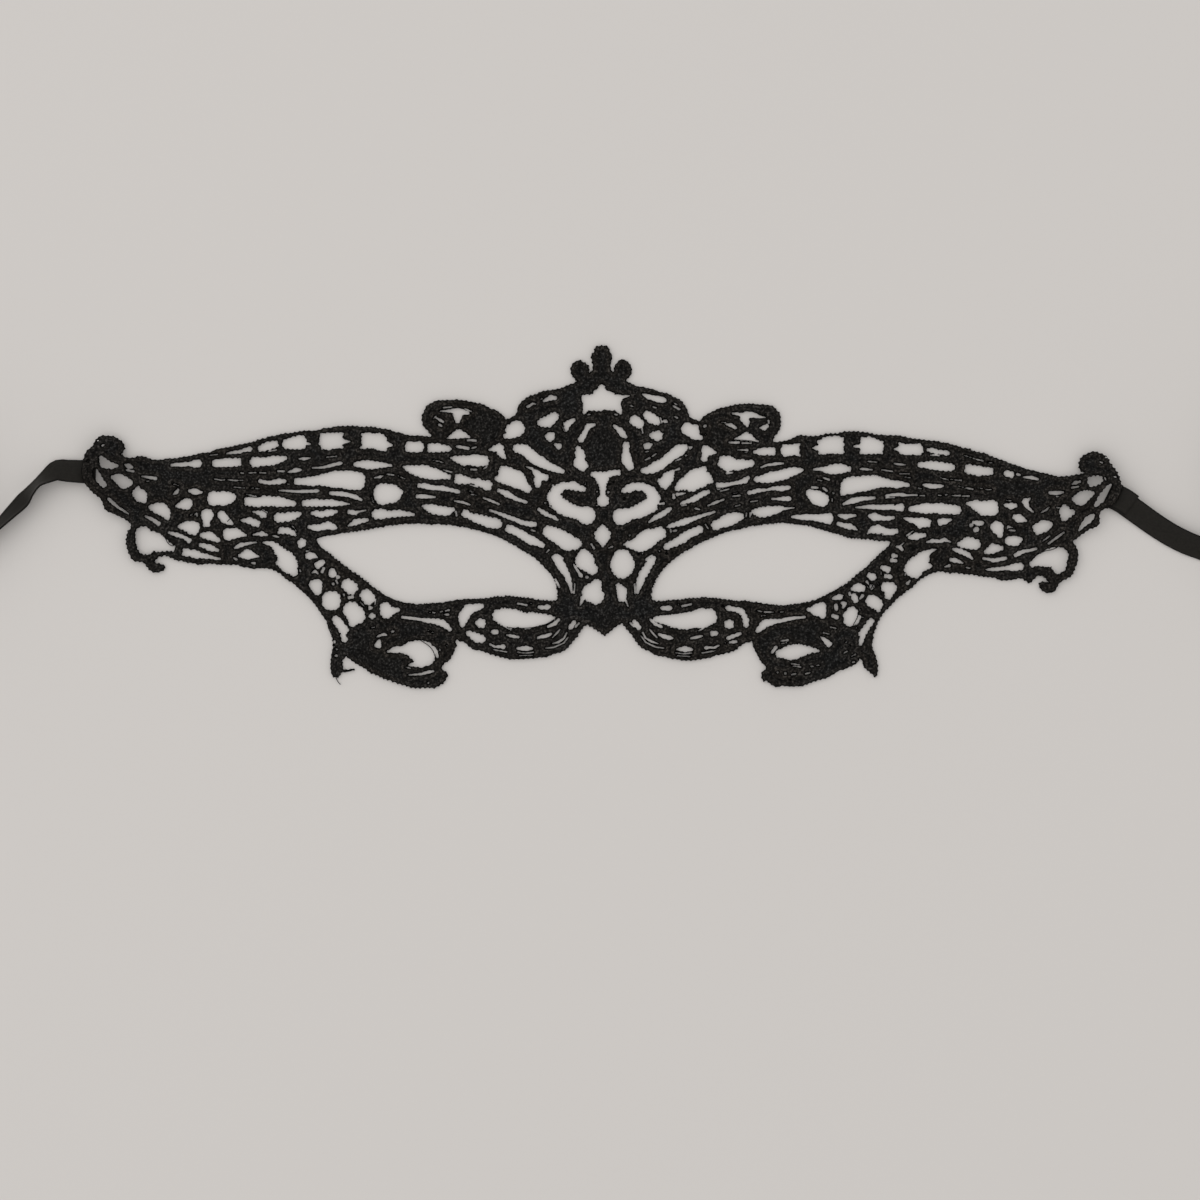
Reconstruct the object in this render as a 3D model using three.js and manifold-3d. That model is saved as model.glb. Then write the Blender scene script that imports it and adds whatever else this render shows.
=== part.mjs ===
// A lace half mask that covers brow and cheeks, laid on a table with its outer face up, and its two satin ribbons.
// Millimetres. +X runs along the mask to the viewer's right, +Y to the brow, +Z up from the table.
// The origin is under the middle of the lace, on the table.
import * as THREE from "three";
import { mergeVertices } from "three/addons/utils/BufferGeometryUtils.js";
import Module from "manifold-3d";

const wasm = await Module();
wasm.setup();

// ---- Sizes
const LACE_THICKNESS = 1.2;
const FLAT_HALF = 104; // the lace lies flat on the table to this distance from the middle
const TIP_REACH = 26; // and from there its ends rise, by TIP_RISE at the tips
const TIP_RISE = 2.8;
const HEM_STEP = 3.2; // spacing of the points along the border
const EYE_STEP = 3; // the same round the eye holes
const ARC_STEP = 2.2; // the same round the end of an opening
const CUT_MARGIN = 1; // how far an opening's cutter stands out above and below the lace
const RIBBON_WIDTH = 6;
const RIBBON_THICKNESS = 0.4;
const RIBBON_STEP = 4; // spacing of the sections along a ribbon
const ROLL_LINE = 31; // the unused length of each ribbon is rolled up on edge: the radius of its outer turn,
const ROLL_PITCH = 3; // the distance from turn to turn
const ROLL_TURNS = 1.62;
const ROLL_LEAD = 8; // and the length from the end of the strip's solid to where the turn begins
const ROLL_SIDES = 28;

// ---- The pattern, read off the photograph by eye in millimetres, as its left half
// The border, round from the crown to the tip of the nose: each stretch is a smooth curve and meets the next in a corner.
const BORDER = {
    "crown knob": [
        [0, 43.3], [-1.7, 43], [-2.3, 41.6], [-2.9, 40.6], [-2.4, 38.5], [-2.5, 37], [-3.1, 36.4],
    ],
    "crown bead": [[-3.1, 36.4], [-3.3, 38.2], [-5.3, 39.6], [-7.6, 38.4], [-7.9, 36], [-6.2, 34.2]],
    "crown arch": [
        [-6.2, 34.2], [-9.5, 32.9], [-14.5, 31.8], [-19, 30.2], [-21.3, 27.8], [-22, 25.6], [-24.4, 24.7],
    ],
    "volute": [
        [-24.4, 24.7], [-26.2, 26.5], [-31.5, 28.8], [-37, 29.6], [-42.5, 29.2], [-45.1, 26.7], [-45.2, 23.5],
        [-43, 20.3],
    ],
    "brow": [
        [-43, 20.3], [-49, 20.8], [-55, 22.2], [-63.3, 23.1], [-71, 22.2], [-80, 21.1], [-90, 18.7], [-103, 15.7],
        [-112, 14.5], [-116, 15.4], [-119, 14.8], [-121.3, 15.7],
    ],
    "tip scroll": [
        [-121.3, 15.7], [-120.2, 17.2], [-121.4, 19.5], [-124, 20.5], [-127, 20], [-128.1, 18.2], [-130, 15.9],
        [-130.9, 12], [-130.3, 8.2], [-128, 6], [-126, 4.2], [-125.4, 2], [-122.6, .4], [-119, -1.4],
        [-118.9, -2.7],
    ],
    "drop curl": [
        [-118.9, -2.7], [-120, -4.5], [-120, -7.6], [-118.2, -10.9], [-115.6, -11.6], [-114.4, -13.3],
        [-112.5, -14.1], [-110.2, -13.3], [-110, -12.2], [-112.8, -11.5],
    ],
    "cheek": [
        [-112.8, -11.5], [-112.2, -10.2], [-110.3, -9.8], [-107, -11], [-102, -12], [-93, -12], [-89, -13],
        [-84, -13.2], [-80, -15.3], [-75.5, -19.1], [-72, -22.7], [-69, -27.8], [-67.9, -31.5], [-68.3, -35],
        [-68.5, -38], [-67.9, -40.4], [-66.6, -40.8], [-65.8, -39.4],
    ],
    "hook": [
        [-65.8, -39.4], [-63.8, -39.1], [-62.5, -38.7], [-62.6, -38.2], [-64, -38.5], [-65.3, -38.3],
        [-65.4, -36.3], [-64.6, -35.1],
    ],
    "lower scroll": [
        [-64.6, -35.1], [-61.8, -37.3], [-56, -40.5], [-50, -42.6], [-46, -43.3], [-41.5, -42.9], [-38.9, -40.6],
        [-39.3, -39.1], [-40.4, -38.3], [-39.8, -37], [-38.2, -35.8], [-37.2, -33.5], [-36.3, -32.3],
    ],
    "loop notch": [[-36.3, -32.3], [-37, -31.6], [-36.8, -30.6], [-36.1, -31.3]],
    "loop": [
        [-36.1, -31.3], [-34.9, -31.6], [-32.8, -33.2], [-28.5, -34.5], [-22.5, -36], [-16.5, -35.7],
        [-12.5, -34.9], [-8.5, -33], [-6.3, -30.2], [-3.8, -27.1],
    ],
    "nose": [[-3.8, -27.1], [-2.3, -28], [-1, -29], [.5, -30.1]],
};
// Stretches that differ so much on the right half that they have points of their own there.
const RIGHT_BORDER = {
    "brow": [
        [43.3, 18.9], [46.5, 19.3], [50, 20.6], [53, 20.5], [57, 21], [60, 21.3], [63.2, 21.8], [66, 21.4],
        [70, 20.9], [75, 20.5], [80, 19.7], [85, 19.1], [90, 17.9], [95, 16.5], [100, 14.9], [105, 12.8],
        [110, 11.4], [115, 10.3], [118, 10.4], [121.3, 11.1],
    ],
    "tip scroll": [
        [121.3, 11.1], [120.1, 12.6], [120.6, 14.7], [122.4, 16.2], [124.6, 16.4], [126.7, 15.4], [127.9, 13.9],
        [129.4, 11.9], [130.6, 9.2], [131, 7.8], [129.9, 4.4], [128.2, 2.6], [126, 1.6], [125.4, .6],
        [125.4, -1.4], [124.5, -2.6], [122.2, -3.6], [120, -5.2], [118.8, -6.2],
    ],
    "drop curl": [
        [118.8, -6.2], [119.6, -7.4], [120, -9.8], [119.5, -12.6], [118.4, -15], [116, -16.3], [115.2, -17.1],
        [114.2, -18.7], [112.3, -19.1], [110.4, -18.2], [110, -17], [111, -16.2], [112.6, -16.5],
    ],
    "cheek": [
        [112.6, -16.5], [112, -15.3], [110.2, -14.8], [108.8, -16.3], [107.8, -16.9], [106.8, -16.1],
        [105.4, -15.4], [104, -15.8], [101, -16], [97.5, -15.3], [93, -14.6], [88, -14.1], [84.5, -13.8],
        [81.5, -15], [78.5, -17.7], [75, -20.3], [71, -24.7], [69.2, -28], [68.2, -31.8], [69.1, -35.2],
        [69.7, -37.6], [69.5, -39.6], [68.9, -40.5],
    ],
    "hook": [[68.9, -40.5], [67.6, -39.3], [66.2, -38.2], [65.8, -37.5], [66, -36.7], [65.1, -35.4]],
    "lower scroll": [
        [65.1, -35.4], [64.4, -36.6], [62, -38.3], [59.9, -38.9], [58.4, -39.9], [55.5, -41], [52.5, -42],
        [49.2, -42.9], [45.5, -42.7], [44.2, -43], [42.4, -42.2], [41.5, -41.4], [40.8, -41.7], [40.1, -40.7],
        [40.2, -39], [41.2, -38.5], [41.4, -37.6], [40.2, -36.7], [39.3, -35.1], [38.2, -33], [37.9, -31.2],
    ],
    "loop notch": [[37.9, -31.2], [38, -30.8]],
};

// Openings. Each is a string of discs [x, y, radius], joined one to the next.
const EYE = [
    [-70.4, -6.6, 1.6], [-66.5, -7.4, 3], [-60.5, -8.85, 5.35], [-55, -10.1, 7.55], [-49, -11.6, 9.75],
    [-44, -11.85, 10], [-37.5, -11.6, 9.3], [-32, -12.1, 8.5], [-26.5, -12.9, 7.1], [-20.7, -14.6, 5.5],
    [-16.2, -16.8, 4], [-13.3, -18.9, 2.15], [-12.1, -20, 1],
];
const OPENINGS = {
    "crown": [
        [[-4.4, 30, .8], [-1.5, 30, 1], [0, 31, 1.4], [0, 32.4, .8], [0, 33.2, .2]],
        [[-4, 29.5, .9], [-3.2, 28.2, 1.5], [0, 29.4, 2.3]], [[-4.6, 26.2, .35], [-4, 27.6, .8]],
        [[-11.7, 18.3, .35], [-10.8, 17.9, .75]], [[-23.4, 21, .9], [-23.1, 22.4, 1.1]],
        [[-22.6, 21.7, 1.75], [-21.4, 22.4, 1.75]], [[-24.4, 20.4, .55], [-22.9, 20.8, .9]],
    ],
    "brow windows": [
        [[-69, 19.1, 1.95], [-67.2, 19.3, 2]], [[-66.6, 19.1, 1.2], [-65, 19.1, .5], [-63.6, 19.05, .15]],
        [[-67, 20.5, .7], [-65.5, 21, .35]], [[-58.8, 19.3, 1.95], [-56.6, 19.1, 2.05]],
        [[-60.6, 20.9, .3], [-59.5, 20.4, .8]], [[-60.8, 17.5, .3], [-59.6, 17.9, .7]],
        [[-56, 18.4, 1.4], [-54.6, 18.3, .8], [-53, 18.1, .2]], [[-56, 17.7, 1], [-54.7, 17.1, .4]],
        [[-48.4, 17.65, 1.35], [-46.4, 17.6, 1.3]], [[-97.5, 13.5, .95], [-92.2, 13.85, 1.15]],
    ],
    "upper leaves": [
        [[-62, 13.4, .7], [-58.8, 13.2, 1.2], [-55, 13.1, .6], [-53.2, 13, .3]],
    ],
    "lower leaves": [
        [[-89.3, 3.9, 1.1], [-84, 4, 1.25], [-80, 3.7, 1.05], [-77.9, 3.4, .6]],
        [[-73.3, 1, .35], [-71, .7, .75], [-68.5, 1.1, .75], [-67, 1.4, .3]],
        [[-56.8, .7, 1.3], [-54, .7, 1.05], [-50.8, .9, .75], [-47.5, .6, .3]],
        [[-45, 2.7, .4], [-42, 1.8, 1.3], [-39, 1.5, 1.15], [-37.8, 1.8, .5]],
        [[-73.9, -2.4, .5], [-71.8, -2.8, .75], [-69.2, -2.1, 1.1], [-67.2, -2.7, .4]],
        [[-63.9, -2.2, .25], [-62, -1.3, .7], [-59.3, -.7, .45]],
        [[-23.4, -2.9, .95], [-21, -4, 1], [-18.2, -5.8, 1.05], [-15.1, -7.1, .8]],
    ],
    "tip": [
        [[-123.2, 10, .55], [-121.8, 9.6, 1.15], [-120.3, 8.6, 1.55], [-118.9, 8.7, .7]],
    ],
    "temple": [
        [[-99.4, .4, 1.5], [-98.4, .5, .9]], [[-90.9, -.8, .35], [-89.2, -.9, .95], [-87.2, -1.6, .6]],
        [[-88, 1.3, .22], [-86.6, 1, .55], [-85.4, .6, .85]], [[-81.6, -.1, 1.15], [-79, 0, 1.2], [-76.4, .8, .45]],
        [[-94, -4.3, 1.35], [-92.4, -4, 1.3], [-90, -4.6, .35]],
        [[-81.6, -4, .25], [-80.7, -3.4, .75], [-79.2, -3.6, .9], [-77.5, -4.3, .35]],
        [[-100.7, -4.6, .6], [-99, -4.8, 1.1], [-97, -5.8, .5]],
        [[-85.3, -6.5, .25], [-83.2, -6.9, .65], [-81.6, -8.4, 1.2], [-79.6, -10.7, 2.15], [-79, -12.2, 2.35],
        [-77.5, -14.5, .9]],
        [[-82, -11.9, .75], [-80, -12, 1.5]],
    ],
    "lower scroll": [
        [[-50.3, -25.3, .3], [-47, -25.65, .35], [-43, -26.2, .55], [-40.2, -26.8, .85], [-38.3, -28.4, .55]],
    ],
    "loop": [
        [[-25.9, -25, 1.85], [-23.7, -25.4, 2.35], [-19, -26.1, 2], [-15.5, -25.9, 1.35], [-12.2, -25.6, .5]],
        [[-21.3, -33.2, .3], [-19.4, -33.1, .7], [-17.6, -33.2, .25]],
    ],
    "centre": [
        [[-4.8, 6.9, .6], [-7.2, 7.9, 1], [-9.8, 7.9, 1.05], [-11.6, 6.6, 1.3], [-12, 4.9, 1.7], [-11, 3.3, 1.9],
        [-8.6, 1.9, 1.65], [-5.9, .9, 1.4], [-3.9, .3, 2.05]],
        [[-13.4, -3.7, 1.5], [-10.6, -5.1, 2.1], [-8.6, -6.5, 2.1], [-5.7, -6.8, .7]],
        [[-11.6, -10.2, .7], [-10.5, -12, 1.1], [-9, -14.7, 1.15], [-8.1, -17, .7], [-7.7, -19, .3]],
    ],
    "axis": [
        [[-2.2, 10.7, .75], [.3, 10.5, .85], [2.6, 11.1, .75], [4, 11.4, .7]],
        [[.2, 9.6, 1.6], [.2, 7.6, .8], [.15, 5.2, .7], [.25, 4.1, 1.5]],
        [[.1, -1.8, .1], [.15, -4.2, 1.75], [.2, -4.6, 1.9], [.2, -6, 1], [.15, -7.5, .2]],
    ],
    "left only": [
        [[-6, 17.2, .85], [-5.5, 15, 1.25], [-5.6, 13.6, 1.5], [-4.8, 12.8, 1]],
        [[-4.5, -9.5, 1.35], [-4.4, -11, 2.3], [-3.9, -11.8, 2], [-2.3, -13.2, 1.1]],
        [[-1.3, -16.7, .95], [-1.9, -18.4, 1.8], [-2.7, -19.1, 2.1], [-1.6, -19.9, 1.9]],
        [[-5.2, 19.6, .7], [-4.2, 21.6, .75], [-3.3, 22.9, .65], [-2, 23.3, .4]],
        [[-14.4, 29.4, .45], [-12.9, 30.1, .7], [-11.8, 30.1, .6]],
        [[-15.2, 23.9, .85], [-13.5, 24.1, 1.5], [-12.3, 25.2, 1.2], [-11.4, 25.6, .55]],
        [[-13.2, 20.2, .95], [-12.4, 20.9, .55]], [[-9.2, 22.2, .6], [-8.6, 23.6, .95], [-7.3, 24.4, .55]],
        [[-21.5, 17.4, 1.05], [-19.5, 16.9, 1.6], [-16.8, 14.6, 1.2], [-13.5, 12.9, .95], [-9.9, 11.5, .5]],
        [[-28.6, 16.9, .15], [-27.1, 17.2, .6], [-25.9, 17.4, 1], [-25.4, 15.9, .8], [-24.6, 14.9, .45]],
        [[-38.6, 20.2, .2], [-36.4, 21.2, .95], [-33.5, 20.15, .2]],
        [[-40.8, 26.7, .15], [-37, 26.8, .75], [-35, 26.5, .65], [-33.7, 26.2, .3]],
        [[-36.4, 25.9, 1.2], [-36.4, 24.2, .5]], [[-86.2, 17.4, .75], [-84.5, 17.8, .95], [-82.7, 18.3, .85]],
        [[-79.4, 18.4, 1.2], [-76.4, 18.8, 1.65]], [[-76, 18.6, .9], [-74.8, 18.5, .5], [-73.7, 18.4, .2]],
        [[-108.6, 13.1, .4], [-105, 13.3, .5], [-102, 13.5, .8]],
        [[-42.9, 17.5, 1.1], [-40.5, 17.35, .95], [-38.7, 17.2, .7]],
        [[-38.2, 14.9, .2], [-36.8, 14.6, .8], [-34.5, 14.2, 1.3], [-31, 14.35, 1.5], [-29.9, 14.2, 1.3]],
        [[-87.4, 13.8, 1.15], [-84.5, 14, 1.1], [-80.2, 14.8, .8]],
        [[-76.9, 8.9, .7], [-73, 9, 1.1], [-69, 9.5, 1.65], [-65, 9.5, 2.2], [-62.1, 9.1, 2.25]],
        [[-55, 5.9, 2.45], [-53, 5.9, 2.25], [-51, 6.2, .9]],
        [[-86.5, 9.05, .5], [-84, 8.6, .35], [-81.5, 9, .7], [-80, 9, .4]],
        [[-50.2, 12.7, .15], [-48.6, 12.1, .8], [-46, 11.5, 1.6], [-42, 10.9, 1.4], [-38.7, 10.1, .65]],
        [[-35.9, 9.6, 1.2], [-32.5, 9, .6], [-29, 8, 1.15]],
        [[-75, 3.5, .85], [-69.8, 3.6, .85], [-66, 3.4, .5], [-63.8, 3.25, .2]],
        [[-34.5, .8, .95], [-31.5, -.4, 1.2], [-28.5, -1.3, 1.3], [-26.5, -1.7, 1.1]],
        [[-126.1, 14.9, .4], [-125.2, 13.4, 1.35], [-123.6, 12.9, .95], [-122.1, 12.9, .3]],
        [[-127.5, 11.7, .45], [-126.8, 9.8, .85], [-125.5, 8, .65]],
        [[-115.8, -4.3, 2.15], [-115, -7, 2.5], [-113.5, -6, 2.45], [-111, -6.9, 1.7], [-108.5, -8, .85]],
        [[-107.3, 2.7, .35], [-104.9, 3.2, 1.2], [-104.3, 3.6, 1]],
        [[-104.2, 6.6, .45], [-102.6, 6.4, .8], [-101.1, 6.3, .4]],
        [[-113.2, 2.5, .85], [-111.2, 2, 1.35], [-110.2, 1.2, 1.3], [-109.6, -.3, .5]],
        [[-106.5, -2.4, .45], [-104.4, -2.5, 1.4], [-103.4, -2.7, 1.5]],
        [[-117, 7.2, .6], [-117.4, 6, 1.15], [-116.3, 5.3, 1.5], [-115.6, 4.3, .9]],
        [[-97.7, 4.7, 1.65], [-95.6, 4.6, 1.8], [-93, 5, .7]], [[-95.2, .6, 1], [-94.5, 0, .65]],
        [[-91.4, -9.7, .4], [-89.4, -9.5, 1.1], [-87.7, -9.8, .55], [-86.5, -10, .2]],
        [[-99.8, -.4, .9], [-99.8, -1.7, .75]],
        [[-105, -8.9, 1], [-102, -9.6, .85], [-98.5, -10.2, .4], [-96.5, -10.6, .25]],
        [[-75.6, -6.5, .85], [-76, -7.2, .55]], [[-74.2, -9.9, .85], [-73, -9.8, .65], [-71.9, -10.2, .2]],
        [[-71.7, -12.1, .8], [-70.6, -11.5, .6]], [[-68.1, -13.5, .6], [-68, -14.4, 1.2]],
        [[-72.2, -17.3, 1.6], [-71.8, -18.7, .95]], [[-64.1, -17.3, 1.65], [-63.4, -17.8, 1.5]],
        [[-68.3, -21.1, 2.4]], [[-59.5, -19.9, 1.4], [-58.8, -20.4, 1.35]],
        [[-63.3, -23.6, 2], [-62.2, -24.8, 2.15], [-62.7, -26.4, 1.2]], [[-57.9, -25.1, .9]],
        [[-54.7, -22.9, 1.15], [-54.4, -24, 1.55], [-51.3, -23.3, .4]],
        [[-67.3, -25.7, .8], [-66.4, -27, 1.05], [-65.1, -28.6, 1.15]], [[-56.2, -31.1, .3], [-56.5, -32.2, .85]],
        [[-54, -34, .3], [-52.4, -33.6, .7], [-50, -33.4, 1], [-48.2, -33.2, 1.7], [-46.4, -33.8, 2.75],
        [-45, -34.4, 2.95], [-44.5, -35.2, 2.1]],
        [[-48.7, -37.4, .2], [-47.4, -37.2, .5], [-45.8, -36.8, 1.05], [-43.8, -36, 1.1]],
        [[-30.4, -22.5, .6], [-33.6, -23.3, 1.2], [-35, -25.2, 1.2], [-35.2, -27.2, .7]],
        [[-30.8, -26.8, 1.25], [-30.4, -26.8, 1.2]], [[-33.7, -29.3, .75], [-32.4, -30.1, .9], [-30.5, -30.8, .95]],
        [[-17.4, 11.8, .35], [-15.8, 10.3, 1.2], [-14.2, 9.9, .7]], [[-16.2, 9.4, 1.1], [-16.1, 8.2, .75]],
        [[-25, 12.2, .75], [-24, 10.6, 2.1], [-21.5, 9.4, 2], [-18.9, 7.2, 1]], [[-26.4, 9.7, .6], [-24, 9, 1]],
    ],
    "right only": [
        [[6.1, 18.1, .9], [5.9, 16.2, 1], [6.3, 14.3, 1.4], [7, 13, .95]],
        [[5.2, -10.3, 2.05], [5.2, -12.1, 2.95], [4.9, -14.1, 1.35]], [[6.4, -10.2, 1.6], [6.6, -11.6, 1.6]],
        [[4.1, -17.3, .6], [4.8, -18.6, 1.2], [5, -19.8, 1.15], [5, -20.4, 1.1]],
        [[3.2, 22.9, .45], [4.4, 21.9, .75], [5.5, 20.7, .6], [6, 20.2, .3]],
        [[11.6, 25.6, 1.1], [12.6, 24.8, 1.2], [13.9, 24.2, .95]], [[12.9, 20.7, 1], [14.1, 20.5, 1.2]],
        [[8.1, 24.4, 1.1], [9.4, 23.6, 1], [9.9, 22.7, .25]],
        [[10.3, 11.6, .55], [12.5, 12.1, 1], [15, 13.4, 1.1], [17.2, 15.2, 1.2], [19.5, 16.9, 1.45],
        [21.2, 17.7, .6]],
        [[36, 25, 1.05], [36.4, 23.9, .9], [36.7, 22.9, .25]],
        [[33.6, 19.6, .25], [36.4, 20.3, .9], [39.4, 19, .2]],
        [[28.8, 16.2, .15], [27.3, 16.5, .7], [26.3, 16.9, 1], [26, 15.6, .8], [25.8, 14.7, .6]],
        [[74, 17.1, .3], [75.3, 17.1, .8]], [[76, 17.1, 1.4], [79.6, 17.1, 1.35]],
        [[80.4, 13.2, .7], [84, 12.9, 1.05], [88, 12.5, 1.05]], [[102.3, 10.9, .85], [102.9, 10.8, .95]],
        [[38.4, 16.4, .35], [40.5, 16.5, .9], [42.9, 16.6, 1.05]],
        [[30.9, 13.9, 1.3], [32, 13.5, 1.6], [34, 13.1, 1.35], [37.6, 13.5, .7]],
        [[77.2, 8.15, .5], [73, 8.35, .95], [69, 8.9, 1.6], [65, 8.3, 1.95], [62.3, 7.9, 2.1], [61, 6.3, .75],
        [60.5, 5.6, .25]],
        [[52.6, 5.9, .95], [54.2, 4.9, 1.95], [55.5, 4.4, 1.75]],
        [[39.2, 9.5, .6], [42, 9.9, 1.3], [46, 10.8, 1.3], [48.6, 11.5, .85], [50.5, 11.9, .3]],
        [[29.6, 7.9, .75], [31.5, 8.1, .65], [33, 8.4, .5], [34.8, 8.8, .45], [36, 9.2, .85], [36.9, 9.8, .4]],
        [[37.1, 6.1, .45], [39, 6.6, .55], [41.8, 6.8, .35], [43.2, 7.2, .5], [45.2, 7.2, .8], [47.1, 7.4, .45]],
        [[64.1, 2.4, .2], [67, 2.5, .5], [70, 2.5, .65], [73, 2.4, .55], [75.5, 2.4, .85]],
        [[34.5, -.2, .9], [31.5, -1.1, 1.2], [28.5, -1.9, 1.3], [26.3, -2.3, 1.1]],
        [[17.3, -2.3, .45], [20, -1.5, .75], [24, -.1, .5], [28.4, 1.3, .25]],
        [[123.5, 9, 1.1], [124.9, 9.3, 1.25]], [[124.5, 3, .4], [125.8, 4.6, .85], [127.1, 6.6, .75], [128, 8, .3]],
        [[120.3, -3.3, .25], [121.5, -1.8, .7], [123, -.2, .8], [123.8, .4, .35]],
        [[108.5, -12, .75], [110.5, -10.8, 1.5], [113.3, -10.3, 2.3], [115.4, -9.8, 2.3], [115.2, -12, 1.9],
        [115, -14, .5]],
        [[107.9, 4.6, .2], [106.9, 3.8, .7], [107.4, 2.4, .45], [108.9, 1.2, .2]],
        [[104.2, 0, .6], [105.4, -.3, .9], [107, -.9, .4]], [[101.9, 3, .5], [103.2, 2.8, .85], [104.2, 2.9, .5]],
        [[110.2, -3, 1.4], [111.2, -2.4, 1.5], [113, -1.9, .7]],
        [[103, -6.1, 1.1], [104.3, -6.1, 1.3], [105.6, -5.8, .6]],
        [[116.6, 2.9, .6], [116.8, 1.3, 1.5], [116.7, .1, 1], [118.7, 1.3, .6]],
        [[92.3, 3.4, .4], [94.6, 2.9, 1.2], [96.5, 2.2, 1.75], [98.2, 2.3, 1.7]],
        [[93.9, -1.3, .4], [95.2, -1.6, .7], [96.1, -1.5, .3]], [[100.1, -3.2, 1], [100.4, -4.6, .65]],
        [[88.8, -8.1, .3], [90.5, -8.6, .55], [92.2, -9.6, .8], [93.5, -10.6, .25]],
        [[97, -13.3, .2], [100, -13.2, .45], [103.5, -12.9, .8], [105.4, -12.5, 1]],
        [[70.8, -12.8, .55], [72.1, -13.2, .85]], [[67.5, -14.9, .6], [68.3, -15.1, .9]],
        [[71.7, -17.8, 1.3], [72.8, -18, 1.5], [72.3, -19.8, .9]],
        [[63.3, -18.1, .55], [64.6, -17.9, 1.1], [65.6, -18, .7]],
        [[58.4, -20.6, .35], [60, -20.2, .75], [60.7, -19.8, .4]],
        [[62.2, -25, 1.3], [63.1, -24.1, 1.5], [62.5, -26.1, 1.35]],
        [[68.2, -21.4, 1.7], [69.3, -22.2, 1.8], [69.9, -23.5, .7]],
        [[52, -23.3, .4], [54.2, -23.6, 1.3], [55.6, -22.5, .85], [55.6, -24.7, .85]],
        [[68, -26.2, .6], [66.9, -27.6, .9], [66.2, -29, .95], [65.2, -29.6, .6]],
        [[66, -29.6, .7], [65.6, -31, .55], [65.3, -32, .4]],
        [[44.6, -34.6, .8], [46.3, -34.3, 1.5], [48.4, -34.1, 2.05], [50.5, -33.6, 1.3], [52.5, -33.5, .95],
        [54.4, -33.9, .4]],
        [[31.8, -22.9, .55], [33.5, -23.4, .75], [35, -23.6, .8], [35.8, -24.6, .8], [36.3, -26, .75],
        [36.4, -27.2, .7]],
        [[32, -27.1, 1.15]], [[14.6, 9.2, .6], [15.8, 8.7, 1.3], [16.8, 10, 1.3], [17.8, 11.4, .5]],
        [[18.9, 7.2, .6], [20.7, 8.4, 1.6], [22.9, 9.6, 1.95], [24.9, 10.9, 1.45], [25.8, 12.2, .6]],
        [[26, 9.9, 1.6], [27.2, 9, 1]],
    ],
};
const ONE_SIDED = ["axis", "left only", "right only"]; // bands that aren't turned over to the right half

// The right half lies a little differently from the left half turned over: [x, y, shift along x, shift along y].
const PULL = [
    [0, 30, 0, 0], [5.4, 37, -.7, .4], [2, 42, -.3, .1], [2.6, 37, -.3, 0], [0, 10, 0, 0], [0, -10, 0, 0],
    [3, -28, .2, .2], [13, 22, .3, .3], [22, 22, -.2, -.3], [26, 16.5, .5, -.5], [27, 9.7, .7, -.4],
    [17, 11, .3, .2], [38, 29.6, -.6, -1.3], [45.7, 25, -.4, -.5], [43.3, 20.3, -.8, -1.4], [36.7, 24, .1, -1],
    [34, 14.4, .1, -.6], [13, 5, .9, -.5], [15, -.5, .4, -.5], [23, 5.5, .1, -.4], [31, -.7, -.1, -.2],
    [41, 1.6, 0, -.1], [11, -13, .7, -.3], [14, -15, .9, 0], [19.5, -9.8, .4, -.5], [25, -20, .3, -.1],
    [20, -27, .5, -.3], [8, -31.5, .4, .4], [37, -20.8, 0, -.4], [45, -1.9, 0, .1], [42, 10.5, .1, -.7],
    [54, -1, -.2, -1], [54, 6, .1, -1.1], [58, -3, 0, -1.3], [62, -15, .2, -.8], [54, -24, -.2, -.1],
    [60, 13, 0, -1.3], [63, 3, -.5, -1.1], [72, 2, -.2, -1], [72, -6, 0, -.7], [66, 10, 0, -1.4],
    [64, -18, -.1, -.7], [70, -19, -.3, -.7], [73, -11, -.5, -.9], [66, -27, -.4, -.6], [69, -32, -.8, 0],
    [65.5, -36, -.7, -.8], [68.2, -41, 1, .3], [44, -43, .3, .3], [60, -38.9, 0, -.3], [75, -20.5, .6, 0],
    [82, -14.5, -.8, -.7], [80, -8, -1.2, -1], [80, -1, -.5, -1.4], [84, 4, 0, -1.8], [76, 6.5, -.5, -1.1],
    [80.5, 14.8, -.5, -1.6], [93, 18, 0, -1], [89, -1, -.8, -2.1], [90, -12.9, -.1, -1.5], [95, 13.8, .3, -2],
    [96, 4.5, -.5, -2.5], [93, -4, -.8, -2.5], [99, -6.5, -1.2, -3.1], [97, -12, -.2, -3.6],
    [105, -11.5, -.4, -4.6], [100, 16.4, 0, -1.3], [105.5, 12.5, 0, -3], [105, 3, -.6, -3.2], [110, 14.6, 0, -3.3],
    [111, 1.5, .2, -3.9], [107, -5, -.6, -3.7], [111.5, -9.8, -.5, -6.2], [124, 21, -.4, -4.6],
    [131, 11.5, -.6, -3.9], [121.5, 8, -.3, -4.3], [126, 2.8, -1, -4], [122, .2, 1, -4.2], [119.4, -1.5, .6, -4.4],
    [121, -6, -2, -5.4], [114, -6, -.6, -5], [113, -13, -1, -5], [55, -20.5, 0, .8], [50, -22, 0, .5],
    [50, 20.8, 0, -.2], [117, 15.3, 0, -4.9],
];
const PULL_REACH = 6; // and each shift is felt to about this distance

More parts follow.
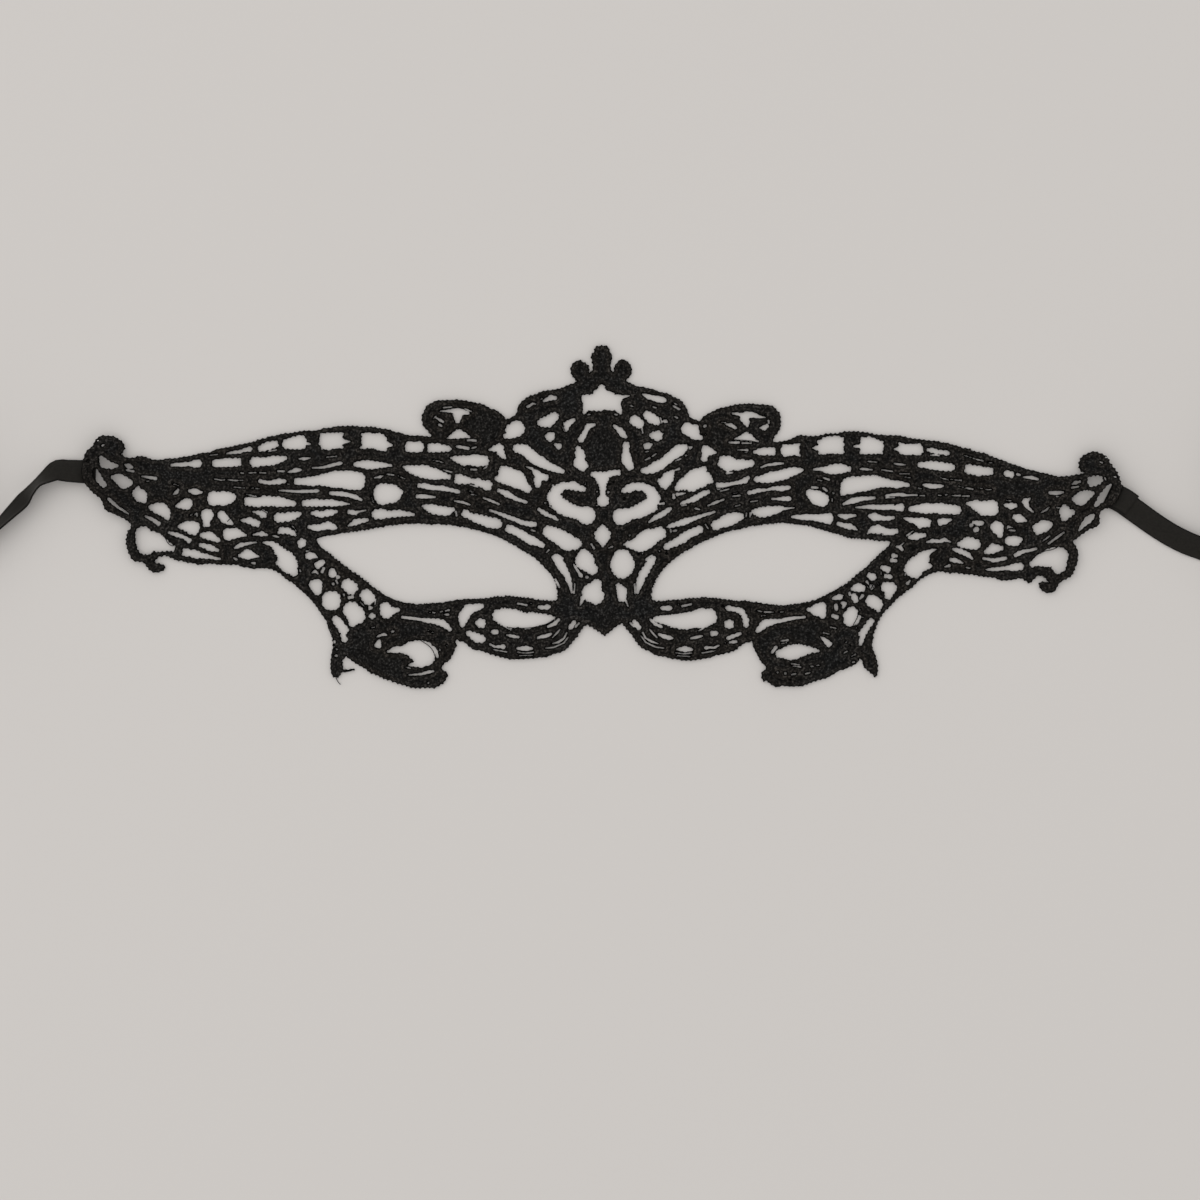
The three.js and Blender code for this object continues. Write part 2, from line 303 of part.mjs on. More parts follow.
// Ribbons from the underside of each tip down to the table and away: stations [x, y, height of the middle, tilt].
// turn is 1 where the roll at the end turns left, and -1 where it turns right.
const RIBBONS = {
  left: {
    stations: [[-127.6, 11.4, 1.25, 10], [-131, 11.4, 1.75, 14], [-135, 11.6, 2.3, 24], [-138, 11.5, 2.7, 32],
      [-140.2, 10.3, 3, 53], [-142.4, 8.4, 3.1, 73], [-144.6, 6, 3.05, 62], [-146.3, 4, 2.8, 50], [-149, 1.1, 2.9, 54],
      [-152, -2, 3, 61], [-157, -7, 3.05, 74], [-161, -11, 3.1, 90]],
    turn: -1,
  },
  right: {
    stations: [[127.4, 5.7, 1.35, 6], [131, 3.9, 1.75, 10], [135, 1.1, 1.5, 16], [139.5, -2.1, 1.5, 20], [143.5, -4.6, 1.5, 20],
      [147.5, -6.6, 1.55, 20], [151.5, -8.2, 1.75, 26], [157.5, -11.2, 2.7, 52], [161.5, -13.3, 3.15, 76], [165.4, -15.4, 3.1, 90]],
    turn: 1,
  },
};

// ---- Plan of the lace
const lerp = THREE.MathUtils.lerp;
const AXIS = { low: -30, lowX: 0.5, top: 43, topX: 0 }; // the mirror line leans a little

// A point of the left half turned over to the right half, where the lace lies a little differently.
function turnedOver([x, y, ...rest]) {
  const up = THREE.MathUtils.clamp((y - AXIS.low) / (AXIS.top - AXIS.low), 0, 1);
  const mx = 2 * lerp(AXIS.lowX, AXIS.topX, up) - x;
  let sum = 0, dx = 0, dy = 0;
  for (const [ax, ay, sx, sy] of PULL) {
    const weight = ((mx - ax) ** 2 + (y - ay) ** 2 + PULL_REACH ** 2) ** -1.5;
    sum += weight;
    dx += weight * sx;
    dy += weight * sy;
  }
  return [mx + dx / sum, y + dy / sum, ...rest];
}

// A smooth curve through points of two or more numbers, without its last point.
function smooth(points, step) {
  const out = [];
  for (let i = 0; i + 1 < points.length; i++) {
    const [a, b, c, d] = [i - 1, i, i + 1, i + 2].map((k) =>
      k < 0 ? points[0].map((v, j) => 2 * v - points[1][j])
        : k >= points.length ? points.at(-1).map((v, j) => 2 * v - points.at(-2)[j])
          : points[k]);
    const pieces = Math.max(1, Math.round(Math.hypot(c[0] - b[0], c[1] - b[1]) / step));
    for (let n = 0; n < pieces; n++) {
      const t = n / pieces;
      out.push(b.map((v, j) => v + 0.5 * t * (c[j] - a[j]
        + t * (2 * a[j] - 5 * v + 4 * c[j] - d[j] + t * (3 * (v - c[j]) + d[j] - a[j])))));
    }
  }
  return out;
}

// The outline of a string of discs: round ends, and a point on each side of every disc between them.
function outline(discs) {
  if (discs.length === 1) {
    const [[x, y, r]] = discs, sides = Math.max(6, Math.round(2 * Math.PI * r / ARC_STEP));
    return Array.from({ length: sides }, (_, i) => {
      const a = 2 * Math.PI * i / sides;
      return [x + r * Math.cos(a), y + r * Math.sin(a)];
    });
  }
  const heading = ([ax, ay], [bx, by]) => Math.atan2(by - ay, bx - ax);
  const at = ([x, y, r], a) => [x + r * Math.cos(a), y + r * Math.sin(a)];
  const cap = (disc, a) => {
    const steps = Math.max(2, Math.round(Math.PI * disc[2] / ARC_STEP));
    return Array.from({ length: steps + 1 }, (_, i) => at(disc, a - Math.PI / 2 + Math.PI * i / steps));
  };
  const left = [], right = [];
  for (let i = 1; i + 1 < discs.length; i++) {
    const before = heading(discs[i - 1], discs[i]), after = heading(discs[i], discs[i + 1]);
    const middle = before + Math.atan2(Math.sin(after - before), Math.cos(after - before)) / 2;
    left.unshift(at(discs[i], middle + Math.PI / 2));
    right.push(at(discs[i], middle - Math.PI / 2));
  }
  const first = heading(discs[0], discs[1]), last = heading(discs.at(-2), discs.at(-1));
  return [...cap(discs[0], first + Math.PI), ...right, ...cap(discs.at(-1), last), ...left];
}

// ---- Solids
// A closed geometry as a solid for joining and cutting, and back.
function toSolid(geometry) {
  geometry.deleteAttribute("normal");
  geometry.deleteAttribute("uv");
  const merged = mergeVertices(geometry, 1e-4);
  return new wasm.Manifold(new wasm.Mesh({
    numProp: 3,
    vertProperties: new Float32Array(merged.attributes.position.array),
    triVerts: new Uint32Array(merged.index.array),
  }));
}
function toGeometry(solid) {
  const { vertProperties, triVerts } = solid.getMesh();
  const geometry = new THREE.BufferGeometry();
  geometry.setAttribute("position", new THREE.BufferAttribute(vertProperties, 3));
  geometry.setIndex(new THREE.BufferAttribute(triVerts, 1));
  return geometry;
}
function prism(points, low, high) {
  const shape = new THREE.Shape(points.map(([x, y]) => new THREE.Vector2(x, y)));
  const geometry = new THREE.ExtrudeGeometry(shape, { depth: high - low, bevelEnabled: false });
  return toSolid(geometry.translate(0, 0, low));
}
const rise = (x) => TIP_RISE * (Math.max(0, Math.abs(x) - FLAT_HALF) / TIP_REACH) ** 2;

function lace() {
  const leftHem = Object.values(BORDER).map((stretch) => smooth(stretch, HEM_STEP));
  const rightHem = Object.keys(BORDER).map((name, i) =>
    name in RIGHT_BORDER ? smooth(RIGHT_BORDER[name], HEM_STEP) : leftHem[i].map(turnedOver));
  const hem = [...leftHem.flat(), BORDER.nose.at(-1), ...rightHem.flat().slice(1).reverse()];
  let body = prism(hem, 0, LACE_THICKNESS);
  const cuts = [EYE, EYE.map(turnedOver)].map((discs) => smooth(discs, EYE_STEP).concat([discs.at(-1)]));
  for (const [band, strings] of Object.entries(OPENINGS))
    for (const string of strings) {
      cuts.push(string);
      if (!ONE_SIDED.includes(band)) cuts.push(string.map(turnedOver));
    }
  for (const cut of cuts) body = body.subtract(prism(outline(cut), -CUT_MARGIN, LACE_THICKNESS + CUT_MARGIN));
  const geometry = toGeometry(body), p = geometry.attributes.position;
  for (let i = 0; i < p.count; i++) p.setZ(i, p.getZ(i) + rise(p.getX(i)));
  return geometry;
}

// A flat strip along stations [x, y, height of its middle, tilt in degrees]: tilt 0 lies flat, 90 stands on edge.
function ribbon(stations) {
  const along = [...smooth(stations, RIBBON_STEP), stations.at(-1)];
  const vertices = [], faces = [];
  along.forEach(([x, y, z, tilt], i) => {
    const [x0, y0] = along[Math.max(0, i - 1)], [x1, y1] = along[Math.min(along.length - 1, i + 1)];
    const side = Math.atan2(y1 - y0, x1 - x0) + Math.PI / 2, a = THREE.MathUtils.degToRad(tilt);
    const flat = new THREE.Vector3(Math.cos(side), Math.sin(side), 0), up = new THREE.Vector3(0, 0, 1);
    const between = (p, q, size) => p.clone().multiplyScalar(Math.cos(a)).addScaledVector(q, Math.sin(a)).multiplyScalar(size);
    const wide = between(flat, up, RIBBON_WIDTH / 2), thick = between(up, flat.clone().negate(), RIBBON_THICKNESS / 2);
    for (const [u, v] of [[-1, -1], [1, -1], [1, 1], [-1, 1]])
      vertices.push(x + u * wide.x + v * thick.x, y + u * wide.y + v * thick.y, z + u * wide.z + v * thick.z);
  });
  const corner = (i, k) => 4 * i + (k % 4), end = along.length - 1;
  for (let i = 0; i < end; i++)
    for (let k = 0; k < 4; k++)
      faces.push(corner(i, k), corner(i, k + 1), corner(i + 1, k + 1),
        corner(i, k), corner(i + 1, k + 1), corner(i + 1, k));
  faces.push(0, 2, 1, 0, 3, 2);
  faces.push(corner(end, 0), corner(end, 1), corner(end, 2), corner(end, 0), corner(end, 2), corner(end, 3));
  const geometry = new THREE.BufferGeometry();
  geometry.setAttribute("position", new THREE.Float32BufferAttribute(vertices, 3));
  geometry.setIndex(faces);
  if (toSolid(geometry.clone()).volume() < 0)
    geometry.setIndex(faces.map((_, i) => faces[i - (i % 3) + [0, 2, 1][i % 3]]));
  return geometry;
}

// The unused length of a ribbon, rolled up loosely and stood on its edge: a ring as high as the ribbon is wide.
function roll({ stations, turn }) {
  const [[x0, y0], [x1, y1]] = stations.slice(-2), length = Math.hypot(x1 - x0, y1 - y0);
  const ahead = [(x1 - x0) / length, (y1 - y0) / length];
  const side = [-turn * ahead[1], turn * ahead[0]];
  const centre = [x1, y1].map((v, j) => v + ROLL_LEAD * ahead[j] + ROLL_LINE * side[j]);
  const outer = ROLL_LINE + RIBBON_THICKNESS, inner = ROLL_LINE - ROLL_TURNS * ROLL_PITCH - RIBBON_THICKNESS;
  const profile = [[inner, 0], [outer, 0], [outer, RIBBON_WIDTH], [inner, RIBBON_WIDTH], [inner, 0]]
    .map(([r, h]) => new THREE.Vector2(r, h));
  return toGeometry(toSolid(new THREE.LatheGeometry(profile, ROLL_SIDES).rotateX(Math.PI / 2))).translate(...centre, 0);
}

// ---- The piece
const thread = new THREE.MeshStandardMaterial({ color: 0x1b1a19, roughness: 0.9, metalness: 0 });
const satin = new THREE.MeshStandardMaterial({ color: 0x26241f, roughness: 0.45, metalness: 0 });
const group = new THREE.Group();
function add(name, geometry, material) {
  geometry.computeVertexNormals();
  const mesh = new THREE.Mesh(geometry, material);
  mesh.name = name;
  group.add(mesh);
}
add("lace", lace(), thread);
for (const [side, route] of Object.entries(RIBBONS)) {
  add(`ribbon_${side}`, ribbon(route.stations), satin);
  add(`ribbon_${side}_roll`, roll(route), satin);
}
export default group;
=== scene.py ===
# %% [markdown]
# # A lace masquerade mask, seen from above
# The real object is a half mask of embroidered black lace, 260 mm wide, that lies on a pale table with
# its outer face up. A satin ribbon leaves each end and runs out of the picture. The lace is flat work:
# its whole character is in its outline, in nearly six hundred openings, and in the corded edges round
# them. So the file reads the pattern once, turns it into a map of distances, and lets that map shape the
# edge, the relief and the direction of the stitches.

# %% Tools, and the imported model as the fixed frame
import math

import bpy
import numpy as np
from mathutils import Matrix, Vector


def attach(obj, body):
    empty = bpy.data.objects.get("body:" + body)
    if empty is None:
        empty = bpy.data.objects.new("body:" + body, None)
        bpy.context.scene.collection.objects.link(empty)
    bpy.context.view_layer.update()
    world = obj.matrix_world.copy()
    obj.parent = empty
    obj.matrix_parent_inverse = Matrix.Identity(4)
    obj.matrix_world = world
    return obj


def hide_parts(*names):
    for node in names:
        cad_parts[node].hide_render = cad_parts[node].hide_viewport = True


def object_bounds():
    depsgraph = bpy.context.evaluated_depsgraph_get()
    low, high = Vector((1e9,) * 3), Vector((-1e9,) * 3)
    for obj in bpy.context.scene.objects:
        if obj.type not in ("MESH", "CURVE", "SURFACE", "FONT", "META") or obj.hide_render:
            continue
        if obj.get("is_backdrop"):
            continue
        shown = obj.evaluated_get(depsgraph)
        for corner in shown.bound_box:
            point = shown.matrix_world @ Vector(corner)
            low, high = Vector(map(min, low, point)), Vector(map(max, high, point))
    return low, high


MM = 0.001
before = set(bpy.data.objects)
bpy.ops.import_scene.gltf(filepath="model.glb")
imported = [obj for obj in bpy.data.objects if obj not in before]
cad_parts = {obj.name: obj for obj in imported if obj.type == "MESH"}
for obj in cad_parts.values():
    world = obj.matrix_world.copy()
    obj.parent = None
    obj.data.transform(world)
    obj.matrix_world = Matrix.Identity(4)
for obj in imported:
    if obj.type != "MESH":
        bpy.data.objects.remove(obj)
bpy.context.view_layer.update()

# %% [markdown]
# ## Camera
# The photograph looks straight down. Its frame is square and shows 303 mm of table, and the lace sits a
# little above the middle of it. A camera without perspective would be simpler, but the ribbons lie higher
# than the table, so a long lens a good way up is truer: it keeps the view nearly flat, as in the
# photograph.

# %% Camera
VIEW_WIDTH = 303 * MM
VIEW_CENTRE = (-0.5 * MM, -20.96 * MM)
CAMERA_HEIGHT = 900 * MM
SENSOR = 36.0

camera_data = bpy.data.cameras.new("overhead_camera")
camera_data.sensor_width = SENSOR
camera_data.lens = SENSOR * CAMERA_HEIGHT / VIEW_WIDTH
camera_data.clip_start = 0.01
camera_data.clip_end = 10
camera = bpy.data.objects.new("overhead_camera", camera_data)
camera.location = (*VIEW_CENTRE, CAMERA_HEIGHT)
bpy.context.scene.collection.objects.link(camera)
bpy.context.scene.camera = camera
print("lens, mm:", round(camera_data.lens, 1))

# %% [markdown]
# ## Curves through a few points
# The ribbons, the lace's border and the stray threads are drawn by a handful of points with a smooth
# curve between them. Blender's own curves need handles beside each point. The cubic curve used here needs
# none and passes through every point, so each point can be read straight off the object.

# %% A smooth curve through points
def smooth_curve(points, step):
    """Points about a step apart on the smooth curve through the given ones, without the last."""
    points = np.array(points, float)
    padded = np.vstack([2 * points[0] - points[1], points, 2 * points[-1] - points[-2]])
    out = []
    for a, b, c, d in zip(padded, padded[1:], padded[2:], padded[3:]):
        pieces = max(1, round(math.hypot(*(c - b)[:2]) / step))
        for t in np.arange(pieces) / pieces:
            out.append(b + 0.5 * t * (c - a + t * (2 * a - 5 * b + 4 * c - d + t * (3 * (b - c) + d - a))))
    return out


# %% A mesh object from points and faces
def new_mesh_object(name, vertices, faces, uvs):
    """A smooth-shaded mesh. Vertices and uvs, each vertex's place in the weave, are in millimetres."""
    mesh = bpy.data.meshes.new(name)
    mesh.from_pydata((np.asarray(vertices) * MM).tolist(), [], faces)
    mesh.polygons.foreach_set("use_smooth", np.ones(len(mesh.polygons), bool))
    corner = np.zeros(len(mesh.loops), np.int32)
    mesh.loops.foreach_get("vertex_index", corner)
    layer = mesh.uv_layers.new(name="weave")
    layer.data.foreach_set("uv", np.asarray(uvs, np.float32)[corner].ravel())
    mesh.update()
    obj = bpy.data.objects.new(name, mesh)
    bpy.context.scene.collection.objects.link(obj)
    return obj


# %% [markdown]
# ## Ribbons
# Each tie is a 6 mm satin ribbon, 350 mm long, sewn behind the tip of the mask. It comes down from the
# raised tip, turns over a little as it leaves the picture, and its unused length lies rolled up on edge
# beside the mask. A curve with a bevel could make it, but Blender would then choose how it twists. So it
# is built as sections of one shape set along a route, each with its tilt: 0 degrees lies flat and 90
# stands on edge. The ribbon then keeps its width whatever way it turns. The stations lie close to those
# of the solids.

# %% Ribbon routes
RIBBON_WIDTH = 6.0
RIBBON_THICKNESS = 0.34
RIBBON_LENGTH = 350.0
ROUTE_STEP = 1.0
ROUTES = {  # stations [x, y, height of the middle, tilt], and the way the roll turns: 1 left, -1 right
    "left": ([[-127.6, 11.4, 1.25, 10], [-131, 11.4, 1.75, 14], [-134.8, 11.6, 2.2, 22],
              [-137.2, 11.7, 2.6, 28], [-139.6, 10.3, 3, 47], [-142, 8.6, 3.1, 63], [-144.2, 6.1, 3.05, 57],
              [-145.8, 4.1, 2.8, 46], [-148.7, 1.2, 2.9, 53], [-151.8, -1.9, 3, 61], [-157, -7, 3.05, 74],
              [-161, -11, 3.1, 90]], -1),
    "right": ([[127.4, 5.7, 1.35, 6], [131, 3.9, 1.75, 10], [135, 1.1, 1.5, 16], [139.5, -2.1, 1.5, 20],
               [143.5, -4.6, 1.5, 20], [147.5, -6.6, 1.55, 20], [151.5, -8.2, 1.75, 26],
               [157.5, -11.2, 2.7, 52], [161.5, -13.3, 3.15, 76], [165.4, -15.4, 3.1, 90]], 1),
}
# The right ribbon's end, folded back on it.
TURNED_END = [[128.6, 5.6, 1.8, 8], [131.2, 4.4, 2.2, 10], [133.5, 2.8, 2.1, 13]]
print({side: len(stations) for side, (stations, turn) in ROUTES.items()}, "stations")

# %% The roll at the far end of a ribbon
ROLL_RADIUS = 31.0
ROLL_PITCH = 3.0  # each turn of the roll is this much tighter than the one round it
ROLL_LEAD = 8.0  # a short straight run leads into the roll


def ribbon_route(stations, turn):
    """The whole route, [x, y, z, tilt] a step apart: the stations, a short straight run, and the roll."""
    route = smooth_curve(stations, ROUTE_STEP) + [np.array(stations[-1], float)]
    ahead = np.array(stations[-1][:2], float) - stations[-2][:2]
    ahead /= np.hypot(*ahead)
    side = turn * np.array([-ahead[1], ahead[0]])
    end = route[-1]
    route += [end + [*(ahead * s), 0, 0] for s in np.arange(1, ROLL_LEAD)]
    centre = end[:2] + ahead * ROLL_LEAD + side * ROLL_RADIUS
    run = sum(np.linalg.norm((b - a)[:3]) for a, b in zip(route, route[1:])) + 1
    angle = 0.0
    while run < RIBBON_LENGTH:
        radius = ROLL_RADIUS - ROLL_PITCH * angle / (2 * math.pi)
        spoke = -side * math.cos(angle) + ahead * math.sin(angle)
        route.append(np.array([*(centre + spoke * radius), end[2], end[3]]))
        angle += ROUTE_STEP / radius
        run += ROUTE_STEP
    return np.array(route)


# %% A band of ribbon
# From the edge to the middle: (millimetres inward, share of the thickness). The woven edge is thicker.
SELVEDGE = [(0, 0.6), (0.12, 1.15), (0.5, 1.1), (0.7, 0.8), (1.9, 0.85), (3.0, 0.85)]


def ribbon_section():
    """The outline of a ribbon's section, (across, thickness), once round."""
    upper = [(-RIBBON_WIDTH / 2 + inward, share * RIBBON_THICKNESS / 2) for inward, share in SELVEDGE]
    upper += [(-u, v) for u, v in reversed(upper[:-1])]
    return upper + [(u, -v) for u, v in reversed(upper)]


def add_strip(route, vertices, uvs, faces):
    """A band of ribbon along a route, closed at both ends."""
    section = ribbon_section()
    start = len(vertices)
    heading = np.gradient(route[:, :2], axis=0)
    heading /= np.linalg.norm(heading, axis=1)[:, None]
    along = np.concatenate([[0], np.cumsum(np.linalg.norm(np.diff(route[:, :3], axis=0), axis=1))])
    for (x, y, z, tilt), (hx, hy), s in zip(route, heading, along):
        a = math.radians(tilt)
        wide = np.array([-hy * math.cos(a), hx * math.cos(a), math.sin(a)])
        thick = np.array([hy * math.sin(a), -hx * math.sin(a), math.cos(a)])
        for u, v in section:
            vertices.append(np.array([x, y, z]) + u * wide + v * thick)
            uvs.append((s, u))
    n = len(section)
    for i in range(len(route) - 1):
        for k in range(n):
            m = (k + 1) % n
            faces.append(tuple(start + v for v in (i * n + k, i * n + m, (i + 1) * n + m, (i + 1) * n + k)))
    faces.append(tuple(range(start, start + n)))
    faces.append(tuple(len(vertices) - 1 - k for k in range(n)))


# %% The two ribbons
ribbons = []
for side, (stations, turn) in ROUTES.items():
    route = ribbon_route(stations, turn)
    vertices, uvs, faces = [], [], []
    add_strip(route, vertices, uvs, faces)
    if side == "right":
        add_strip(np.array(smooth_curve(TURNED_END, ROUTE_STEP) + TURNED_END[-1:]), vertices, uvs, faces)
    ribbon = new_mesh_object(f"{side}_tie_ribbon", vertices, faces, uvs)
    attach(ribbon, "root")
    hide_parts(f"ribbon_{side}", f"ribbon_{side}_roll")
    ribbons.append(ribbon)
    print(ribbon.name, len(route), "sections, ends at", route[-1, :2].round(1))

# %% [markdown]
# ## The lace's border
# Such lace is stitched by machine on a sheet that is later dissolved, so only thread is left, and its
# plan is free: it has to be drawn point by point. The border comes first. It is given as smooth stretches
# that meet in corners. The left half is measured. On the right the crown, the volute, the loop and the
# nose are the left ones turned over, and the stretches that differ too much have points of their own.

# %% The border's left half, [x, y] in millimetres, from the crown to the nose
LEFT_BORDER = {
    "crown knob": [[0, 43.3], [-1.7, 43], [-2.3, 41.6], [-2.9, 40.6], [-2.4, 38.5], [-2.5, 37],
        [-3.1, 36.4]],
    "crown bead": [[-3.1, 36.4], [-3.3, 38.2], [-5.3, 39.6], [-7.6, 38.4], [-7.9, 36], [-6.2, 34.2]],
    "crown arch": [[-6.2, 34.2], [-9.5, 32.9], [-14.5, 31.8], [-19, 30.2], [-21.3, 27.8], [-22, 25.6],
        [-24.4, 24.7]],
    "volute": [[-24.4, 24.7], [-26.2, 26.5], [-31.5, 28.8], [-37, 29.6], [-42.5, 29.2], [-45.1, 26.7],
        [-45.2, 23.5], [-43, 20.3]],
    "brow": [[-43, 20.3], [-49, 20.8], [-55, 22.2], [-63.3, 23.1], [-71, 22.2], [-80, 21.1], [-90, 18.7],
        [-103, 15.7], [-112, 14.5], [-116, 15.4], [-119, 14.8], [-121.3, 15.7]],
    "tip scroll": [[-121.3, 15.7], [-120.2, 17.2], [-121.4, 19.5], [-124, 20.5], [-127, 20], [-128.1, 18.2],
        [-130, 15.9], [-130.9, 12], [-130.3, 8.2], [-128, 6], [-126, 4.2], [-125.4, 2], [-122.6, .4],
        [-119, -1.4], [-118.9, -2.7]],
    "drop curl": [[-118.9, -2.7], [-120, -4.5], [-120, -7.6], [-118.2, -10.9], [-115.6, -11.6],
        [-114.4, -13.3], [-112.5, -14.1], [-110.2, -13.3], [-110, -12.2], [-112.8, -11.5]],
    "cheek": [[-112.8, -11.5], [-112.2, -10.2], [-110.3, -9.8], [-107, -11], [-102, -12], [-93, -12],
        [-89, -13], [-84, -13.2], [-80, -15.3], [-75.5, -19.1], [-72, -22.7], [-69, -27.8], [-67.9, -31.5],
        [-68.3, -35], [-68.5, -38], [-67.9, -40.4], [-66.6, -40.8], [-65.8, -39.4]],
    "hook": [[-65.8, -39.4], [-63.8, -39.1], [-62.5, -38.7], [-62.6, -38.2], [-64, -38.5], [-65.3, -38.3],
        [-65.4, -36.3], [-64.6, -35.1]],
    "lower scroll": [[-64.6, -35.1], [-61.8, -37.3], [-56, -40.5], [-50, -42.6], [-46, -43.3],
        [-41.5, -42.9], [-38.9, -40.6], [-39.3, -39.1], [-40.4, -38.3], [-39.8, -37], [-38.2, -35.8],
        [-37.2, -33.5], [-36.3, -32.3]],
    "loop notch": [[-36.3, -32.3], [-37, -31.6], [-36.8, -30.6], [-36.1, -31.3]],
    "loop": [[-36.1, -31.3], [-34.9, -31.6], [-32.8, -33.2], [-28.5, -34.5], [-22.5, -36], [-16.5, -35.7],
        [-12.5, -34.9], [-8.5, -33], [-6.3, -30.2], [-3.8, -27.1]],
    "nose": [[-3.8, -27.1], [-2.3, -28], [-1, -29], [.5, -30.1]],
}
print(len(LEFT_BORDER), "stretches,", sum(len(points) for points in LEFT_BORDER.values()), "points")

# %% Stretches of the right half that have points of their own
RIGHT_BORDER = {
    "brow": [[43.3, 18.9], [46.5, 19.3], [50, 20.6], [53, 20.5], [57, 21], [60, 21.3], [63.2, 21.8],
        [66, 21.4], [70, 20.9], [75, 20.5], [80, 19.7], [85, 19.1], [90, 17.9], [95, 16.5], [100, 14.9],
        [105, 12.8], [110, 11.4], [115, 10.3], [118, 10.4], [121.3, 11.1]],
    "tip scroll": [[121.3, 11.1], [120.1, 12.6], [120.6, 14.7], [122.4, 16.2], [124.6, 16.4], [126.7, 15.4],
        [127.9, 13.9], [129.4, 11.9], [130.6, 9.2], [131, 7.8], [129.9, 4.4], [128.2, 2.6], [126, 1.6],
        [125.4, .6], [125.4, -1.4], [124.5, -2.6], [122.2, -3.6], [120, -5.2], [118.8, -6.2]],
    "drop curl": [[118.8, -6.2], [119.6, -7.4], [120, -9.8], [119.5, -12.6], [118.4, -15], [116, -16.3],
        [115.2, -17.1], [114.2, -18.7], [112.3, -19.1], [110.4, -18.2], [110, -17], [111, -16.2],
        [112.6, -16.5]],
    "cheek": [[112.6, -16.5], [112, -15.3], [110.2, -14.8], [108.8, -16.3], [107.8, -16.9], [106.8, -16.1],
        [105.4, -15.4], [104, -15.8], [101, -16], [97.5, -15.3], [93, -14.6], [88, -14.1], [84.5, -13.8],
        [81.5, -15], [78.5, -17.7], [75, -20.3], [71, -24.7], [69.2, -28], [68.2, -31.8], [69.1, -35.2],
        [69.7, -37.6], [69.5, -39.6], [68.9, -40.5]],
    "hook": [[68.9, -40.5], [67.6, -39.3], [66.2, -38.2], [65.8, -37.5], [66, -36.7], [65.1, -35.4]],
    "lower scroll": [[65.1, -35.4], [64.4, -36.6], [62, -38.3], [59.9, -38.9], [58.4, -39.9], [55.5, -41],
        [52.5, -42], [49.2, -42.9], [45.5, -42.7], [44.2, -43], [42.4, -42.2], [41.5, -41.4], [40.8, -41.7],
        [40.1, -40.7], [40.2, -39], [41.2, -38.5], [41.4, -37.6], [40.2, -36.7], [39.3, -35.1], [38.2, -33],
        [37.9, -31.2]],
    "loop notch": [[37.9, -31.2], [38, -30.8]],
}
print(len(RIGHT_BORDER), "stretches:", ", ".join(RIGHT_BORDER))

# %% [markdown]
# ## The openings
# Each opening could be a closed outline, but most are small, and an outline needs many points. A string
# of discs needs only three numbers for each of a few points, and the outline drawn round it is enough for
# round holes, leaves and crescents alike. Openings that lie alike on both halves are listed once, for the
# left one.

# %% The eye holes: strings of discs [x, y, radius]
LEFT_EYE = [
    [-71.7, -5.75, .3], [-70, -6.4, 1.35], [-66.5, -7.25, 2.85], [-60.5, -8.85, 5.35], [-55, -10.1, 7.55],
    [-49, -11.6, 9.75], [-44, -11.85, 10], [-37.5, -11.6, 9.3], [-32, -12.1, 8.5], [-26.5, -12.9, 7.1],
    [-20.7, -14.6, 5.5], [-16.2, -16.8, 4], [-13.5, -18.9, 2.15], [-12.3, -20.1, 1], [-11.7, -20.6, .5],
]
RIGHT_EYE = [
    [72.3, -6.5, .35], [70.8, -7.2, 1.15], [67.2, -8.35, 2.6], [62.5, -10, 4.7], [57.5, -11.1, 6.9],
    [53, -11.6, 8.7], [49.5, -11.85, 9.9], [44.7, -11.9, 10.3], [38.3, -11.9, 9.4], [32.9, -12.4, 8.5],
    [27.5, -13.2, 7.1], [21.9, -14.9, 5.5], [17.6, -17, 4], [14.7, -19.1, 2.15], [13.5, -20.15, 1],
]
print(len(LEFT_EYE), "and", len(RIGHT_EYE), "discs")

